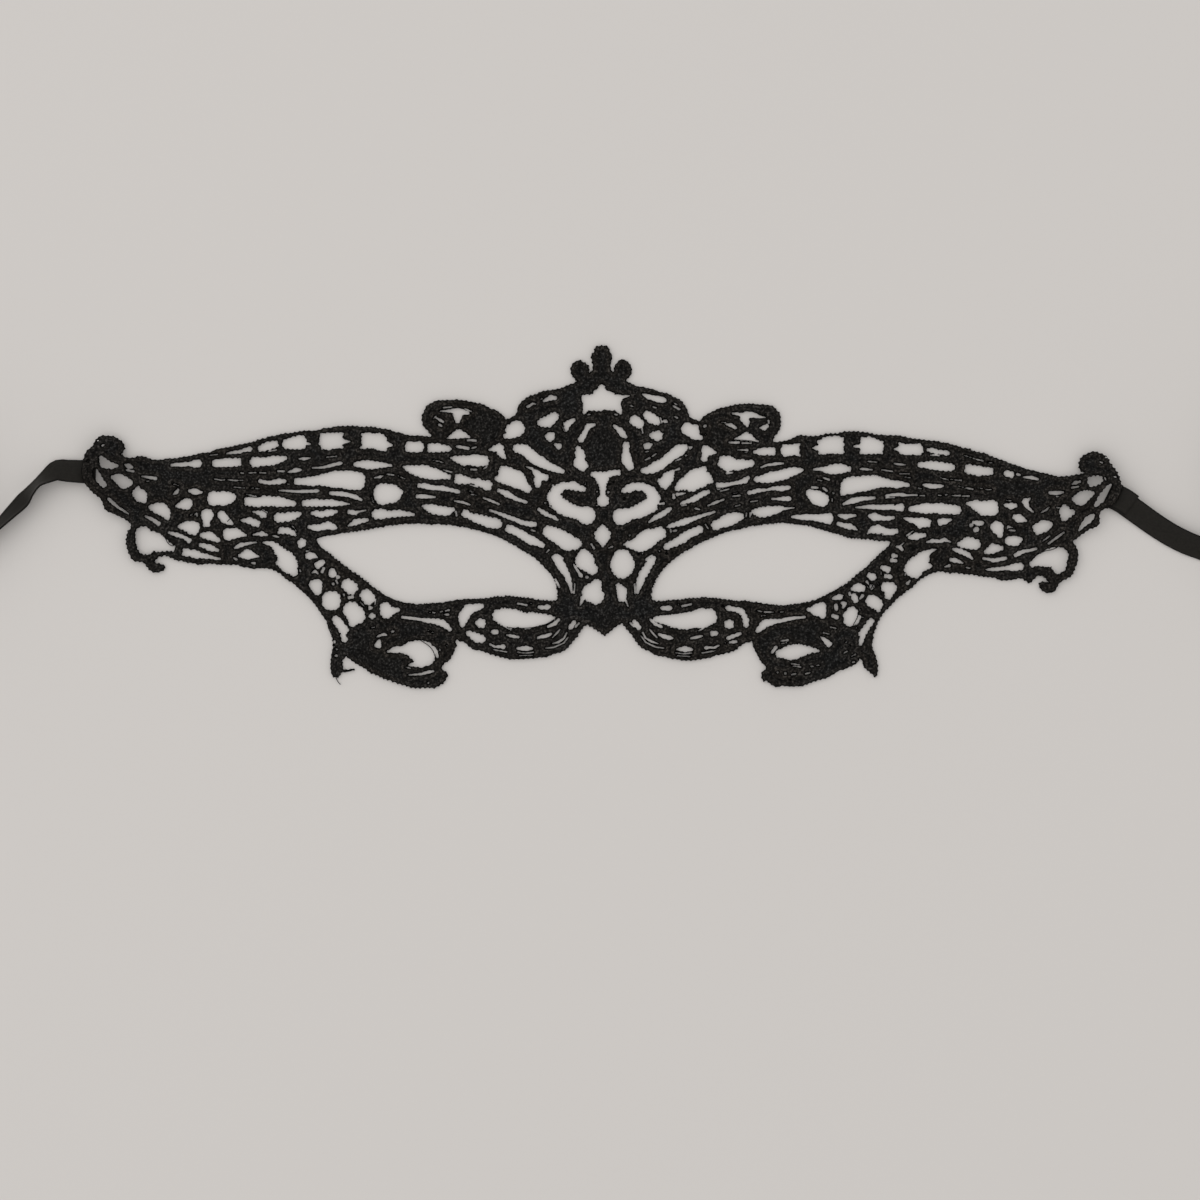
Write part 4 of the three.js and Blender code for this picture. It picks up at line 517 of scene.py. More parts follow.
# %% Openings of the right half alone
OPENINGS["right only"] = [
    [[6.1, 18.1, .9], [5.9, 16.2, 1], [6.3, 14.3, 1.4], [7, 13, .95]], [[4.6, 30.2, .5], [6.9, 30.6, .15]],
    [[7.2, 28.1, .2], [7.7, 27.9, .15]], [[5.1, -10.4, 2.05], [5.2, -12.1, 2.95], [4.9, -14.1, 1.35]],
    [[6.3, -10.7, 1.5], [6.6, -11.6, 1.6]],
    [[4.1, -17.3, .6], [4.8, -18.6, 1.2], [5, -19.8, 1.15], [5, -20.4, 1.1]],
    [[5.9, -21, .3], [6.6, -22.6, .15]],
    [[3.2, 22.9, .45], [4.4, 21.9, .75], [5.5, 20.7, .6], [6, 20.2, .3]],
    [[10.2, 31, .15], [11.8, 30.4, .6], [13.5, 29.9, .65], [15.7, 29.3, .5]],
    [[11.6, 25.6, 1.1], [12.6, 24.8, 1.2], [13.9, 24.2, .95]], [[14.7, 24.9, .2], [15, 23.9, .3]],
    [[15.6, 24.2, .35], [16.2, 24.1, .5]], [[12.9, 20.7, 1], [14.1, 20.5, 1.2]], [[15.5, 21, .12]],
    [[18.1, 28.8, .15], [18.9, 28.3, .2]], [[17.9, 28, .2], [19.5, 27.1, .3]],
    [[18.4, 25.3, .2], [19, 25, .2]], [[12.9, 27.8, .14], [13.6, 27.6, .18]],
    [[8.1, 24.4, 1.1], [9.4, 23.6, 1], [9.9, 22.7, .25]], [[10.1, 22.4, .15], [10.3, 21.3, .2]],
    [[10.9, 16.4, .1], [11.7, 16.6, .15]], [[12.7, 15.3, .15], [13.6, 15.9, .15]],
    [[10.9, 14.4, .15], [12, 14.9, .25]], [[18.5, 14.1, .1], [19.9, 14.7, .2]], [[21.2, 15.5, .25]],
    [[22.1, 17.3, .3], [22.6, 17.6, .3]],
    [[10.3, 11.6, .55], [12.5, 12.1, 1], [15, 13.4, 1.1], [17.2, 15.2, 1.2], [19.5, 16.9, 1.45],
     [21.2, 17.7, .6]],
    [[33, 26.1, .2], [35.5, 25.8, .6], [38, 25.8, .6], [39.6, 25.3, .35], [41.2, 25.1, .12]],
    [[36, 25, 1.05], [36.4, 23.9, .9], [36.7, 22.9, .25]], [[41.2, 25.7, .12]],
    [[42, 24.3, .2], [42.1, 23.7, .2]], [[39.9, 22.5, .2], [40.8, 22.5, .55], [41.7, 23, .45]],
    [[30.2, 23.9, .1], [31.2, 23.8, .12]], [[31.4, 23.4, .15], [32.6, 23.2, .35], [33.7, 22.5, .35]],
    [[25.9, 22.9, .3], [26.2, 23, .2]], [[26.1, 20.7, .12]],
    [[33.6, 19.6, .25], [36.4, 20.3, .9], [39.4, 19, .2]], [[35, 19.7, .4], [37.8, 19.3, .3]],
    [[32.1, 18.8, .25], [34.5, 18.8, .35]], [[35.4, 18.6, .2], [37.7, 18.6, .15]],
    [[34.3, 16.9, .12], [36.7, 16.9, .25]], [[36, 16.3, .1], [36.6, 16.3, .1]],
    [[28.8, 16.2, .15], [27.3, 16.5, .7], [26.3, 16.9, 1], [26, 15.6, .8], [25.8, 14.7, .6]],
    [[74, 17.1, .3], [75.3, 17.1, .8]], [[76, 17.1, 1.4], [79.6, 17.1, 1.35]],
    [[82.4, 16.9, .4], [84.5, 16.5, .6], [87, 16.1, .65]], [[83, 15.6, .2], [85.1, 15.5, .2]],
    [[91.4, 15.5, .1], [93.2, 15, .12]], [[93.6, 14.8, .1], [96.2, 14.1, .14]],
    [[97.3, 13.8, .1], [98.6, 13.6, .1]], [[80.4, 13.2, .7], [84, 12.9, 1.05], [88, 12.5, 1.05]],
    [[102.3, 10.9, .85], [102.9, 10.8, .95]], [[104.8, 10.7, .35], [105.4, 10.6, .3]],
    [[106.5, 10.1, .25], [108.4, 9.9, .5], [110, 9.5, .25]],
    [[38.4, 16.4, .35], [40.5, 16.5, .9], [42.9, 16.6, 1.05]],
    [[30.9, 13.9, 1.3], [32, 13.5, 1.6], [34, 13.1, 1.35], [37.6, 13.5, .7]],
    [[31.5, 11.1, .2], [33, 11.2, .15]],
    [[40.2, 12.5, .2], [41.8, 13.1, .25], [44, 13.4, .3], [45.7, 13.5, .2]],
    [[65.1, 12.1, .15], [66.2, 12.1, .35], [68.3, 11.9, .15]], [[65.7, 12.6, .1]],
    [[70.6, 11.9, .12], [73.3, 11.5, .22]], [[75.2, 10.9, .12], [77.6, 10.9, .14]],
    [[76.3, 10.1, .1], [77.8, 9.9, .12]],
    [[77.2, 8.15, .5], [73, 8.35, .95], [69, 8.9, 1.6], [65, 8.3, 1.95], [62.3, 7.9, 2.1], [61, 6.3, .75],
     [60.5, 5.6, .25]], [[52.6, 5.9, .95], [54.2, 4.9, 1.95], [55.5, 4.4, 1.75]],
    [[53.1, 7.5, .3], [54.4, 7.4, .3]], [[55.9, 7.2, .3], [56.8, 6.7, .35]], [[58.4, 6, .25]],
    [[58.1, 4.6, .12], [58.1, 3.9, .15]], [[55.9, 9.9, .2], [57.2, 9.4, .25]],
    [[54.3, 9.4, .1], [55.5, 9.1, .12]], [[81, 8.2, .25], [82.3, 7.9, .65], [84.5, 7.6, .5], [86, 7.8, .2]],
    [[79.8, 7.3, .12], [80.6, 7.1, .15]], [[85.4, 9.9, .1], [87.4, 9.4, .14]],
    [[88, 9.5, .1], [90.7, 9.2, .14]], [[90, 7.8, .1], [91.8, 7.3, .1]], [[92, 7.3, .18], [93.6, 7, .2]],
    [[94.8, 7.3, .1], [96, 7.2, .12]], [[96.9, 6.9, .1], [98.2, 6.9, .12]],
    [[84.9, 5.5, .12], [85.8, 5.4, .12]], [[86.7, 5.6, .18], [87.1, 5.6, .15]],
    [[88.4, 5.4, .12], [90.4, 5.4, .15]], [[90.9, 5.3, .15], [92.7, 5.3, .15]],
    [[71.7, 3.1, .1], [73.6, 3.1, .12]], [[71.6, 4.8, .12], [73.8, 4.9, .12]],
    [[71.8, 5.4, .3], [75, 5.7, .4], [77, 5.5, .25], [79.5, 5.5, .25]], [[80.1, 5.4, .15], [81.4, 5.4, .2]],
    [[39.2, 9.5, .6], [42, 9.9, 1.3], [46, 10.8, 1.3], [48.6, 11.5, .85], [50.5, 11.9, .3]],
    [[29.6, 7.9, .75], [31.5, 8.1, .65], [33, 8.4, .5], [34.8, 8.8, .45], [36, 9.2, .85], [36.9, 9.8, .4]],
    [[29.8, 6.5, .2], [32, 7, .15]],
    [[37.1, 6.1, .45], [39, 6.6, .55], [41.8, 6.8, .35], [43.2, 7.2, .5], [45.2, 7.2, .8],
     [47.1, 7.4, .45]], [[32.9, 5.2, .15], [34.9, 5.4, .2]],
    [[59.9, .4, .35], [61.5, .1, .6], [63.9, .4, .3]],
    [[64.1, 2.4, .2], [67, 2.5, .5], [70, 2.5, .65], [73, 2.4, .55], [75.5, 2.4, .85]],
    [[34.8, .1, .95], [31.5, -.9, 1.35], [28.7, -2.1, 1.15]],
    [[17.3, -2.3, .45], [20, -1.5, .75], [24, -.1, .5], [28.4, 1.3, .25]], [[16.5, -2.5, .15]],
    [[17.3, -3.2, .2], [17.4, -3.8, .2]], [[18.2, -3.5, .25], [18.8, -3.4, .2]],
    [[123.5, 9, 1.1], [124.9, 9.3, 1.25]], [[126.6, 9.9, .12], [126.9, 9.2, .12]],
    [[124.5, 3, .4], [125.8, 4.6, .85], [127.1, 6.6, .75], [128, 8, .3]],
    [[120.3, -3.3, .25], [121.5, -1.8, .7], [123, -.2, .8], [123.8, .4, .35]],
    [[111.2, -6.1, .15], [113, -4.8, .2]], [[112.7, -6.7, .25], [114.6, -5.3, .35], [116.5, -3.9, .25]],
    [[108.5, -12, .75], [110.5, -10.8, 1.5], [113.3, -10.3, 2.3], [115.4, -9.8, 2.3], [115.2, -12, 1.9],
     [115, -14, .5]], [[107.9, 4.6, .2], [106.9, 3.8, .7], [107.4, 2.4, .45], [108.9, 1.2, .2]],
    [[110.8, 1.1, .15], [112, 1.7, .25], [112.8, 2.5, .15]],
    [[104.2, 0, .6], [105.4, -.3, .9], [107, -.9, .4]],
    [[101.9, 3, .5], [103.2, 2.8, .85], [104.2, 2.9, .5]], [[102, 4.2, .1], [103.3, 4.1, .12]],
    [[110.2, -3, 1.4], [111.2, -2.4, 1.5], [113, -1.9, .7]],
    [[103, -6.1, 1.1], [104.3, -6.1, 1.3], [105.6, -5.8, .6]],
    [[116.6, 2.9, .6], [116.8, 1.3, 1.5], [116.7, .1, 1], [118.7, 1.3, .6]],
    [[114.7, 2.4, .12], [115.3, 2.3, .12]], [[102.6, -2.3, .1], [103.4, -2.7, .12]],
    [[102.8, -3.3, .15], [104.2, -3.5, .2]],
    [[92.3, 3.4, .4], [94.6, 2.9, 1.2], [96.5, 2.2, 1.75], [98.2, 2.3, 1.7]],
    [[93.9, -1.3, .4], [95.2, -1.6, .7], [96.1, -1.5, .3]], [[93.2, -2.1, .4]],
    [[94.4, -3.3, .6], [94.8, -3, .4]], [[100.1, -3.2, 1], [100.4, -4.6, .65]],
    [[96.2, -10.5, .3], [99, -10.9, .45], [101.7, -10.5, .4]],
    [[88.8, -8.1, .3], [90.5, -8.6, .55], [92.2, -9.6, .8], [93.5, -10.6, .25]],
    [[88.2, -10.8, .5], [89.5, -11, .5], [91, -11.6, .15]], [[86.5, -12.6, .12], [87.6, -12.3, .3]],
    [[91.9, -12.7, .18], [92.8, -12.9, .18]],
    [[81.9, -6.4, .2], [83.5, -6, .4], [85.3, -6.2, .35], [86.4, -5.7, .6], [87.9, -6.3, .25]],
    [[97, -13.3, .2], [100, -13.2, .45], [103.5, -12.9, .8], [105.4, -12.5, 1]],
    [[74.4, -7.5, .3], [75.2, -7.6, .5], [75.6, -8.1, .4]], [[75.6, -7, .2], [76.2, -6.5, .15]],
    [[73.6, -9.8, .45], [74.3, -9.9, .4]], [[73.1, -11, .45], [74.1, -11.1, .45]],
    [[70.8, -12.8, .55], [72.1, -13.2, .85]], [[71.6, -15, .45], [72.7, -15.1, .5]],
    [[70.4, -13.9, .12], [70.5, -14.6, .12]], [[67.5, -14.9, .6], [68.3, -15.1, .9]],
    [[66.9, -16.3, .25], [67.3, -17, .12]], [[68.2, -17.5, .55], [68, -18.2, .3]],
    [[69.6, -16.6, .12], [69.9, -17.2, .12]], [[67, -17.6, .1], [67.3, -18, .1]],
    [[71.7, -17.8, 1.3], [72.8, -18, 1.5], [72.3, -19.8, .9]],
    [[63.3, -18.1, .55], [64.6, -17.9, 1.1], [65.6, -18, .7]], [[62.5, -19.2, .25], [62.6, -19.8, .2]],
    [[63.5, -20.2, .6], [63.9, -20.9, .6]], [[65.2, -20.6, .25], [65.8, -19.7, .35]],
    [[58.4, -20.6, .35], [60, -20.2, .75], [60.7, -19.8, .4]], [[59, -22.4, .4], [59.2, -23.2, .4]],
    [[60.5, -21.8, .4], [61.3, -21.9, .45], [60.8, -22.9, .3]], [[65.1, -23.4, .2]],
    [[62.2, -25, 1.3], [63.1, -24.1, 1.5], [62.5, -26.1, 1.35]], [[65, -25.2, .45], [64.2, -26.9, .3]],
    [[65.8, -25.3, .2]], [[64.2, -28, .2]], [[68.5, -21.4, 1.65], [69.4, -22, 1.7], [69.8, -23.6, .5]],
    [[58.3, -25, .45], [59.2, -25.3, .5]],
    [[52, -23.3, .4], [54.2, -23.6, 1.3], [55.6, -22.5, .85], [55.6, -24.7, .85]],
    [[68, -26.2, .6], [66.9, -27.6, .9], [66.2, -29, .95], [65.2, -29.6, .6]],
    [[66, -29.6, .7], [65.6, -31, .55], [65.3, -32, .4]],
    [[44.6, -34.6, .8], [46.3, -34.3, 1.5], [48.4, -34.1, 2.05], [50.5, -33.6, 1.3], [52.5, -33.5, .95],
     [54.4, -33.9, .4]], [[42.9, -34.2, .35], [43.9, -32.9, .35]], [[45.2, -31.3, .2], [46.8, -31.1, .25]],
    [[45.2, -31.95, .1], [46.6, -31.75, .12]], [[47.8, -37.05, .14], [49.8, -37.3, .2]],
    [[48, -37.6, .1], [50.2, -37.9, .15]], [[52.6, -37.7, .12], [53.3, -37.7, .15]],
    [[54.1, -37.5, .1], [54.9, -37.4, .12]], [[44.4, -39.2, .25]], [[46.2, -39.5, .25]],
    [[47.7, -39.8, .15], [48.8, -39.6, .25]], [[51.3, -39.6, .15], [52.4, -39.3, .2]], [[47.5, -41, .1]],
    [[55.2, -30.3, .15], [56.4, -31, .5], [57.2, -32.1, .6]], [[57.6, -27.8, .15], [59.1, -28.1, .15]],
    [[55.8, -29.2, .14], [57.4, -29.6, .14]], [[61.5, -31.6, .15], [61.8, -31.6, .12]], [[62.4, -32.5, .1]],
    [[61, -34.4, .12], [61.9, -33.9, .15]], [[62.9, -35.2, .12], [64, -34.7, .16]],
    [[63.2, -36.7, .15], [63.7, -36.6, .2]], [[39.1, -23.6, .1], [40.4, -23.9, .16]],
    [[41, -24, .16], [43.3, -24, .16]], [[44.7, -24, .12], [45.8, -24, .14]],
    [[40.2, -25, .1], [41.2, -24.9, .1]],
    [[31.8, -22.9, .55], [33.5, -23.4, .75], [35, -23.6, .8], [35.8, -24.6, .8], [36.3, -26, .75],
     [36.4, -27.2, .7]], [[32, -27.1, 1.15]], [[31.8, -30.6, .3], [33.3, -30.1, .55], [34.8, -29.5, .6]],
    [[32.4, -31.6, .35], [33.6, -31.5, .45]], [[30.5, -22.5, .12]], [[31.1, -31.8, .15]],
    [[14.4, 3.3, .18], [15.5, 3.4, .25]], [[13.3, 1.8, .12], [13.9, 2, .22]],
    [[18, 5.5, .35], [18.1, 4.9, .35]], [[19, 5.7, .35], [21, 6, .2]], [[20.1, 2.9, .14], [21.4, 3, .14]],
    [[7, -4.6, .3]], [[1.6, 6.2, .32]], [[5.6, 4.6, .16]], [[13.6, 6.7, .12]], [[1.9, 8.2, .1]],
    [[2.9, 8.8, .1]], [[5.5, -7, .2], [6.8, -6.9, .5]], [[1.6, -7.9, .12], [2.6, -7.5, .16]],
    [[9.2, -9.4, .15]], [[10.2, -9.3, .2]], [[11.3, -10.4, .12], [12.8, -9.6, .12]], [[14.6, -8.6, .22]],
    [[16.3, -9.1, .12]], [[14.6, 9.2, .6], [15.8, 8.7, 1.3], [16.8, 10, 1.3], [17.8, 11.4, .5]],
    [[16, 7.5, .5]], [[18.3, 11.8, .15], [19.4, 12.1, .3]],
    [[18.9, 7.2, .6], [20.7, 8.4, 1.6], [22.9, 9.6, 1.95], [24.9, 10.9, 1.45], [25.8, 12.2, .6]],
    [[26, 9.9, 1.6], [27.2, 9, 1]], [[12, -1.2, .35], [13.5, -.2, .6], [15.5, .9, .6], [17.2, 2, .45]],
    [[64.6, 17.8, .35], [63.5, 17.8, .15]], [[47.7, 16.9, 1.3], [45.7, 18.1, .25]],
    [[48, 16.9, 1.3], [49.9, 18.4, .2]], [[48, 16.8, 1.3], [49.9, 15.5, .2]],
    [[56, 18, 1.2], [54.5, 19.1, .25]], [[59, 18, 1.5], [60.9, 19.5, .2]],
    [[59, 17.5, 1.3], [60.7, 16.1, .2]], [[67, 17.8, 1.4], [65.4, 19.2, .2]],
    [[69, 17.8, 1.4], [70.9, 19, .2]], [[69, 17.4, 1.3], [70.7, 16.1, .2]],
    [[67, 17.4, 1.3], [65.2, 16.1, .2]], [[76.5, 17.2, 1.1], [75, 18.7, .2]],
    [[79.5, 17, 1.2], [80.8, 16.4, .25]], [[26.4, 16.9, .9], [25.6, 17.9, .2]],
    [[22.5, 8.2, 1.7], [25.5, 9, 1.4]], [[85.2, -1.3, .25], [86.6, -1.1, .6], [88, -.6, .2]],
    [[76.3, -.3, .2], [78.6, -.9, .8], [81, -1.4, 1.1], [82, -1.5, 1.15]], [[79, -.9, .6], [80.3, -2, .7]],
    [[77.6, -5.2, .3], [79.2, -4.9, .8], [81.2, -4.6, .55]], [[76.9, -4.7, .2], [77.8, -4.1, .15]],
    [[67, -4.2, .15], [68.2, -3, .7], [69.6, -2.8, .75], [71, -3.1, .7], [72.5, -3.6, .4], [74, -3.2, .15]],
    [[70.8, -4.5, .12], [73.5, -4.4, .15]],
    [[84.3, -8.2, .2], [82.3, -8.9, .55], [80.8, -10.6, 1.6], [79.4, -12.1, 2.4], [78.7, -13.2, 2.05]],
    [[83, -12.4, .35], [81, -12.2, 1.4]], [[77.7, -16.1, .25], [77.1, -16.8, .3]],
    [[26.1, -1.9, .15], [26.8, -3, .15]], [[48.5, -35.6, .45]], [[23.6, 2.2, .2], [24.6, 1.9, .2]],
    [[37.3, 3.8, .15], [39.3, 4.1, .15]], [[33.6, 2.7, .1], [34.9, 3, .1]],
    [[45.5, 2, .35], [48.5, 2.3, .15]], [[36.5, 1, .14], [36.3, -.2, .14]],
    [[-.2, 32.2, .45], [1.1, 31.3, .75], [2.4, 30.8, .7]],
]
print(len(OPENINGS["right only"]), "openings")

# %% [markdown]
# ## How the right half lies
# Cloth never lies quite symmetrically. A mirrored copy alone would look stamped, and tracing the whole
# right half again would be long. So what both halves share is turned over, and then moved by a field of
# small shifts, each measured at one place. A point between them moves by a blend of the nearest ones.

# %% The shifts: [x, y, shift along x, shift along y]
PULL = [
    [0, 30, 0, 0], [5.4, 37, -.7, .4], [2, 42, -.3, .1], [2.6, 37, -.3, 0], [0, 10, 0, 0], [0, -10, 0, 0],
    [3, -28, .2, .2], [13, 22, .3, .3], [22, 22, -.2, -.3], [26, 16.5, .5, -.5], [27, 9.7, .7, -.4],
    [17, 11, .3, .2], [38, 29.6, -.6, -1.3], [45.7, 25, -.4, -.5], [43.3, 20.3, -.8, -1.4],
    [36.7, 24, .1, -1], [34, 14.4, .1, -.6], [13, 5, .9, -.5], [15, -.5, .4, -.5], [23, 5.5, .1, -.4],
    [31, -.7, -.1, -.2], [41, 1.6, 0, -.1], [11, -13, .7, -.3], [14, -15, .9, 0], [19.5, -9.8, .4, -.5],
    [25, -20, .3, -.1], [20, -27, .5, -.3], [8, -31.5, .4, .4], [37, -20.8, 0, -.4], [45, -1.9, 0, .1],
    [42, 10.5, .1, -.7], [54, -1, -.2, -1], [54, 6, .1, -1.1], [58, -3, 0, -1.3], [62, -15, .2, -.8],
    [54, -24, -.2, -.1], [60, 13, 0, -1.3], [63, 3, -.5, -1.1], [72, 2, -.2, -1], [72, -6, 0, -.7],
    [66, 10, 0, -1.4], [64, -18, -.1, -.7], [70, -19, -.3, -.7], [73, -11, -.5, -.9], [66, -27, -.4, -.6],
    [69, -32, -.8, 0], [65.5, -36, -.7, -.8], [68.2, -41, 1, .3], [44, -43, .3, .3], [60, -38.9, 0, -.3],
    [75, -20.5, .6, 0], [82, -14.5, -.8, -.7], [80, -8, -1.2, -1], [80, -1, -.5, -1.4], [84, 4, 0, -1.8],
    [76, 6.5, -.5, -1.1], [80.5, 14.8, -.5, -1.6], [93, 18, 0, -1], [89, -1, -.8, -2.1],
    [90, -12.9, -.1, -1.5], [95, 13.8, .3, -2], [96, 4.5, -.5, -2.5], [93, -4, -.8, -2.5],
    [99, -6.5, -1.2, -3.1], [97, -12, -.2, -3.6], [105, -11.5, -.4, -4.6], [100, 16.4, 0, -1.3],
    [105.5, 12.5, 0, -3], [105, 3, -.6, -3.2], [110, 14.6, 0, -3.3], [111, 1.5, .2, -3.9],
    [107, -5, -.6, -3.7], [111.5, -9.8, -.5, -6.2], [124, 21, -.4, -4.6], [131, 11.5, -.6, -3.9],
    [121.5, 8, -.3, -4.3], [126, 2.8, -1, -4], [122, .2, 1, -4.2], [119.4, -1.5, .6, -4.4],
    [121, -6, -2, -5.4], [114, -6, -.6, -5], [113, -13, -1, -5], [55, -20.5, 0, .8], [50, -22, 0, .5],
    [50, 20.8, 0, -.2], [117, 15.3, 0, -4.9],
]
PULL_REACH = 6.0
AXIS = ([-30, 43], [0.5, 0.0])  # heights, and the mirror line's place there: it leans a little
print(len(PULL), "shifts, the largest", round(max(math.hypot(*shift) for _, _, *shift in PULL), 1), "mm")


# %% Both halves together
HEM_STEP = 1.0


def turned_over(points):
    """Points (and radii) of the left half on the right half."""
    points = np.array(points, float)
    x, y = 2 * np.interp(points[:, 1], *AXIS) - points[:, 0], points[:, 1]
    ax, ay, sx, sy = np.array(PULL, float).T
    weight = ((x[:, None] - ax) ** 2 + (y[:, None] - ay) ** 2 + PULL_REACH ** 2) ** -1.5
    weight /= weight.sum(1, keepdims=True)
    points[:, 0], points[:, 1] = x + weight @ sx, y + weight @ sy
    return points


def right_stretch(name, left_points):
    """A stretch of the right half: its own points where it has them, or else the left ones turned over."""
    if name in RIGHT_BORDER:
        return np.array(smooth_curve(RIGHT_BORDER[name], HEM_STEP))
    return turned_over(left_points)


left_hem = [np.array(smooth_curve(stretch, HEM_STEP)) for stretch in LEFT_BORDER.values()]
right_hem = [right_stretch(name, points) for name, points in zip(LEFT_BORDER, left_hem)]
hem = np.vstack([*left_hem, LEFT_BORDER["nose"][-1:], np.vstack(right_hem)[:0:-1]])
eyes = [np.vstack([smooth_curve(eye, HEM_STEP), eye[-1:]]) for eye in (LEFT_EYE, RIGHT_EYE)]
openings = []
for band, group in OPENINGS.items():
    openings += [np.array(s, float) for s in group]
    if band not in ("axis", "left only", "right only"):
        openings += [turned_over(s) for s in group]
print(len(hem), "points on the border,", len(openings), "openings and the two eyes")

# %% [markdown]
# ## An edge that wanders
# A stitched outline is never as true as the drawing behind it. A noise texture could push the finished
# mesh about, but the corded rims would then lose their width. Moving the points of the pattern before
# anything is built keeps the rims whole. The random numbers start from a fixed seed, so the mask is the
# same every time.

# %% Small errors in the points of the pattern
generator = np.random.default_rng(11)
HEM_WANDER = 0.05
DISC_SPACING = 1.3
DISC_SHIFT = 0.06
DISC_SWELL = 0.1
SMALL_DISC = 0.5  # a disc of a smaller radius moves less


def uneven(discs):
    """A string with more discs, each moved and swelled a little, which makes the edge irregular."""
    out = [discs[0]]
    for a, b in zip(discs, discs[1:]):
        pieces = max(1, round(math.hypot(*(b - a)[:2]) / DISC_SPACING))
        out += [a + (b - a) * t / pieces for t in range(1, pieces + 1)]
    out = np.array(out)
    out[:, :2] += generator.normal(0, DISC_SHIFT, (len(out), 2)) * np.minimum(1, out[:, 2:] / SMALL_DISC)
    out[:, 2] *= 1 + generator.normal(0, DISC_SWELL, len(out)) / np.maximum(1, out[:, 2])
    return out


hem = hem + generator.normal(0, HEM_WANDER, hem.shape)
strings = eyes + [uneven(s) for s in openings]
print(sum(len(s) for s in strings), "discs in", len(strings), "strings")

# %% [markdown]
# ## A map of distances
# For every point of a fine grid the script finds the distance to the nearest edge of the lace, and how
# far along that edge the nearest point lies. These two numbers run across and along every cord of thread,
# so later they give the bumps of the outline, the round section of the rims and the lay of the stitches.
# Cutting the openings out of a sheet one by one would give the holes alone. The map gives all of it, and
# no single stitch has to be traced.

# %% The grid and its maps
STEP = 0.2
REACH = 6.0  # an edge is looked for up to this far away
HALF_LENGTH = 132
HALF_HEIGHT = 44.5
grid_x = np.arange(-HALF_LENGTH, HALF_LENGTH + STEP, STEP)
grid_y = np.arange(-HALF_HEIGHT, HALF_HEIGHT + STEP, STEP)
across_edge = np.full((len(grid_y), len(grid_x)), REACH)  # positive on the lace
along_edge = np.zeros_like(across_edge)
roominess = np.ones_like(across_edge)  # small beside the narrowest openings, whose edges have to stay calm
print(across_edge.size, "points on the grid")


def window(low_x, high_x, low_y, high_y):
    """The part of the grid near a box, and its points."""
    i = np.searchsorted(grid_x, [low_x - REACH, high_x + REACH])
    j = np.searchsorted(grid_y, [low_y - REACH, high_y + REACH])
    part = (slice(*j), slice(*i))
    return part, *np.meshgrid(grid_x[part[1]], grid_y[part[0]])


def note(part, *values):
    """Keeps distance, place along the edge and roominess wherever the distance is nearer than before."""
    nearer = values[0] < across_edge[part]
    for known, value in zip((across_edge, along_edge, roominess), values):
        known[part] = np.where(nearer, value, known[part])


# %% Distances to the border
def note_segment(a, b, start):
    """The distance to a short piece of the border."""
    part, x, y = window(min(a[0], b[0]), max(a[0], b[0]), min(a[1], b[1]), max(a[1], b[1]))
    ex, ey = b - a
    length = math.hypot(ex, ey)
    t = np.clip(((x - a[0]) * ex + (y - a[1]) * ey) / length ** 2, 0, 1)
    note(part, np.hypot(x - a[0] - t * ex, y - a[1] - t * ey), start + t * length, 1)


run = np.concatenate([[0], np.cumsum(np.hypot(*np.diff(hem, axis=0, append=hem[:1]).T))])
for i in range(len(hem)):
    note_segment(hem[i], hem[(i + 1) % len(hem)], run[i])
print("the border is", round(float(run[-1])), "mm round")

# %% Which side of the border a point lies on: count the crossings of the border to its left
next_x, next_y = np.roll(hem, -1, axis=0).T
for row, y in enumerate(grid_y):
    hit = (hem[:, 1] <= y) != (next_y <= y)
    to_right, upward = (next_x - hem[:, 0])[hit], (next_y - hem[:, 1])[hit]
    crossings = np.sort(hem[hit, 0] + (y - hem[hit, 1]) * to_right / upward)
    outside = np.searchsorted(crossings, grid_x) % 2 == 0
    across_edge[row, outside] *= -1
print("inside the border:", round(float((across_edge > 0).sum()) * STEP ** 2), "square mm")

# %% Distances to the openings
SQUARE_POWER = 2.4  # 2 would give a disc, and a higher power gives squarer corners
SQUARED_FROM = 0.6  # ends of a larger radius than this are squared
CALM_RADIUS = 0.9  # beside an opening of a smaller radius than this the bumps get smaller too
LEAST_ROOM = 0.2  # but no smaller than this share
OUT_OF_STEP = 7.3  # starts the bumps of each opening at a place of its own
TINY = 1e-6


def cap_distance(x, y, radius, is_end):
    """Distance from the middle of a disc. At the end of a wide string the disc has squarer corners."""
    if is_end and radius > SQUARED_FROM:
        return (np.abs(x) ** SQUARE_POWER + np.abs(y) ** SQUARE_POWER) ** (1 / SQUARE_POWER)
    return np.hypot(x, y)


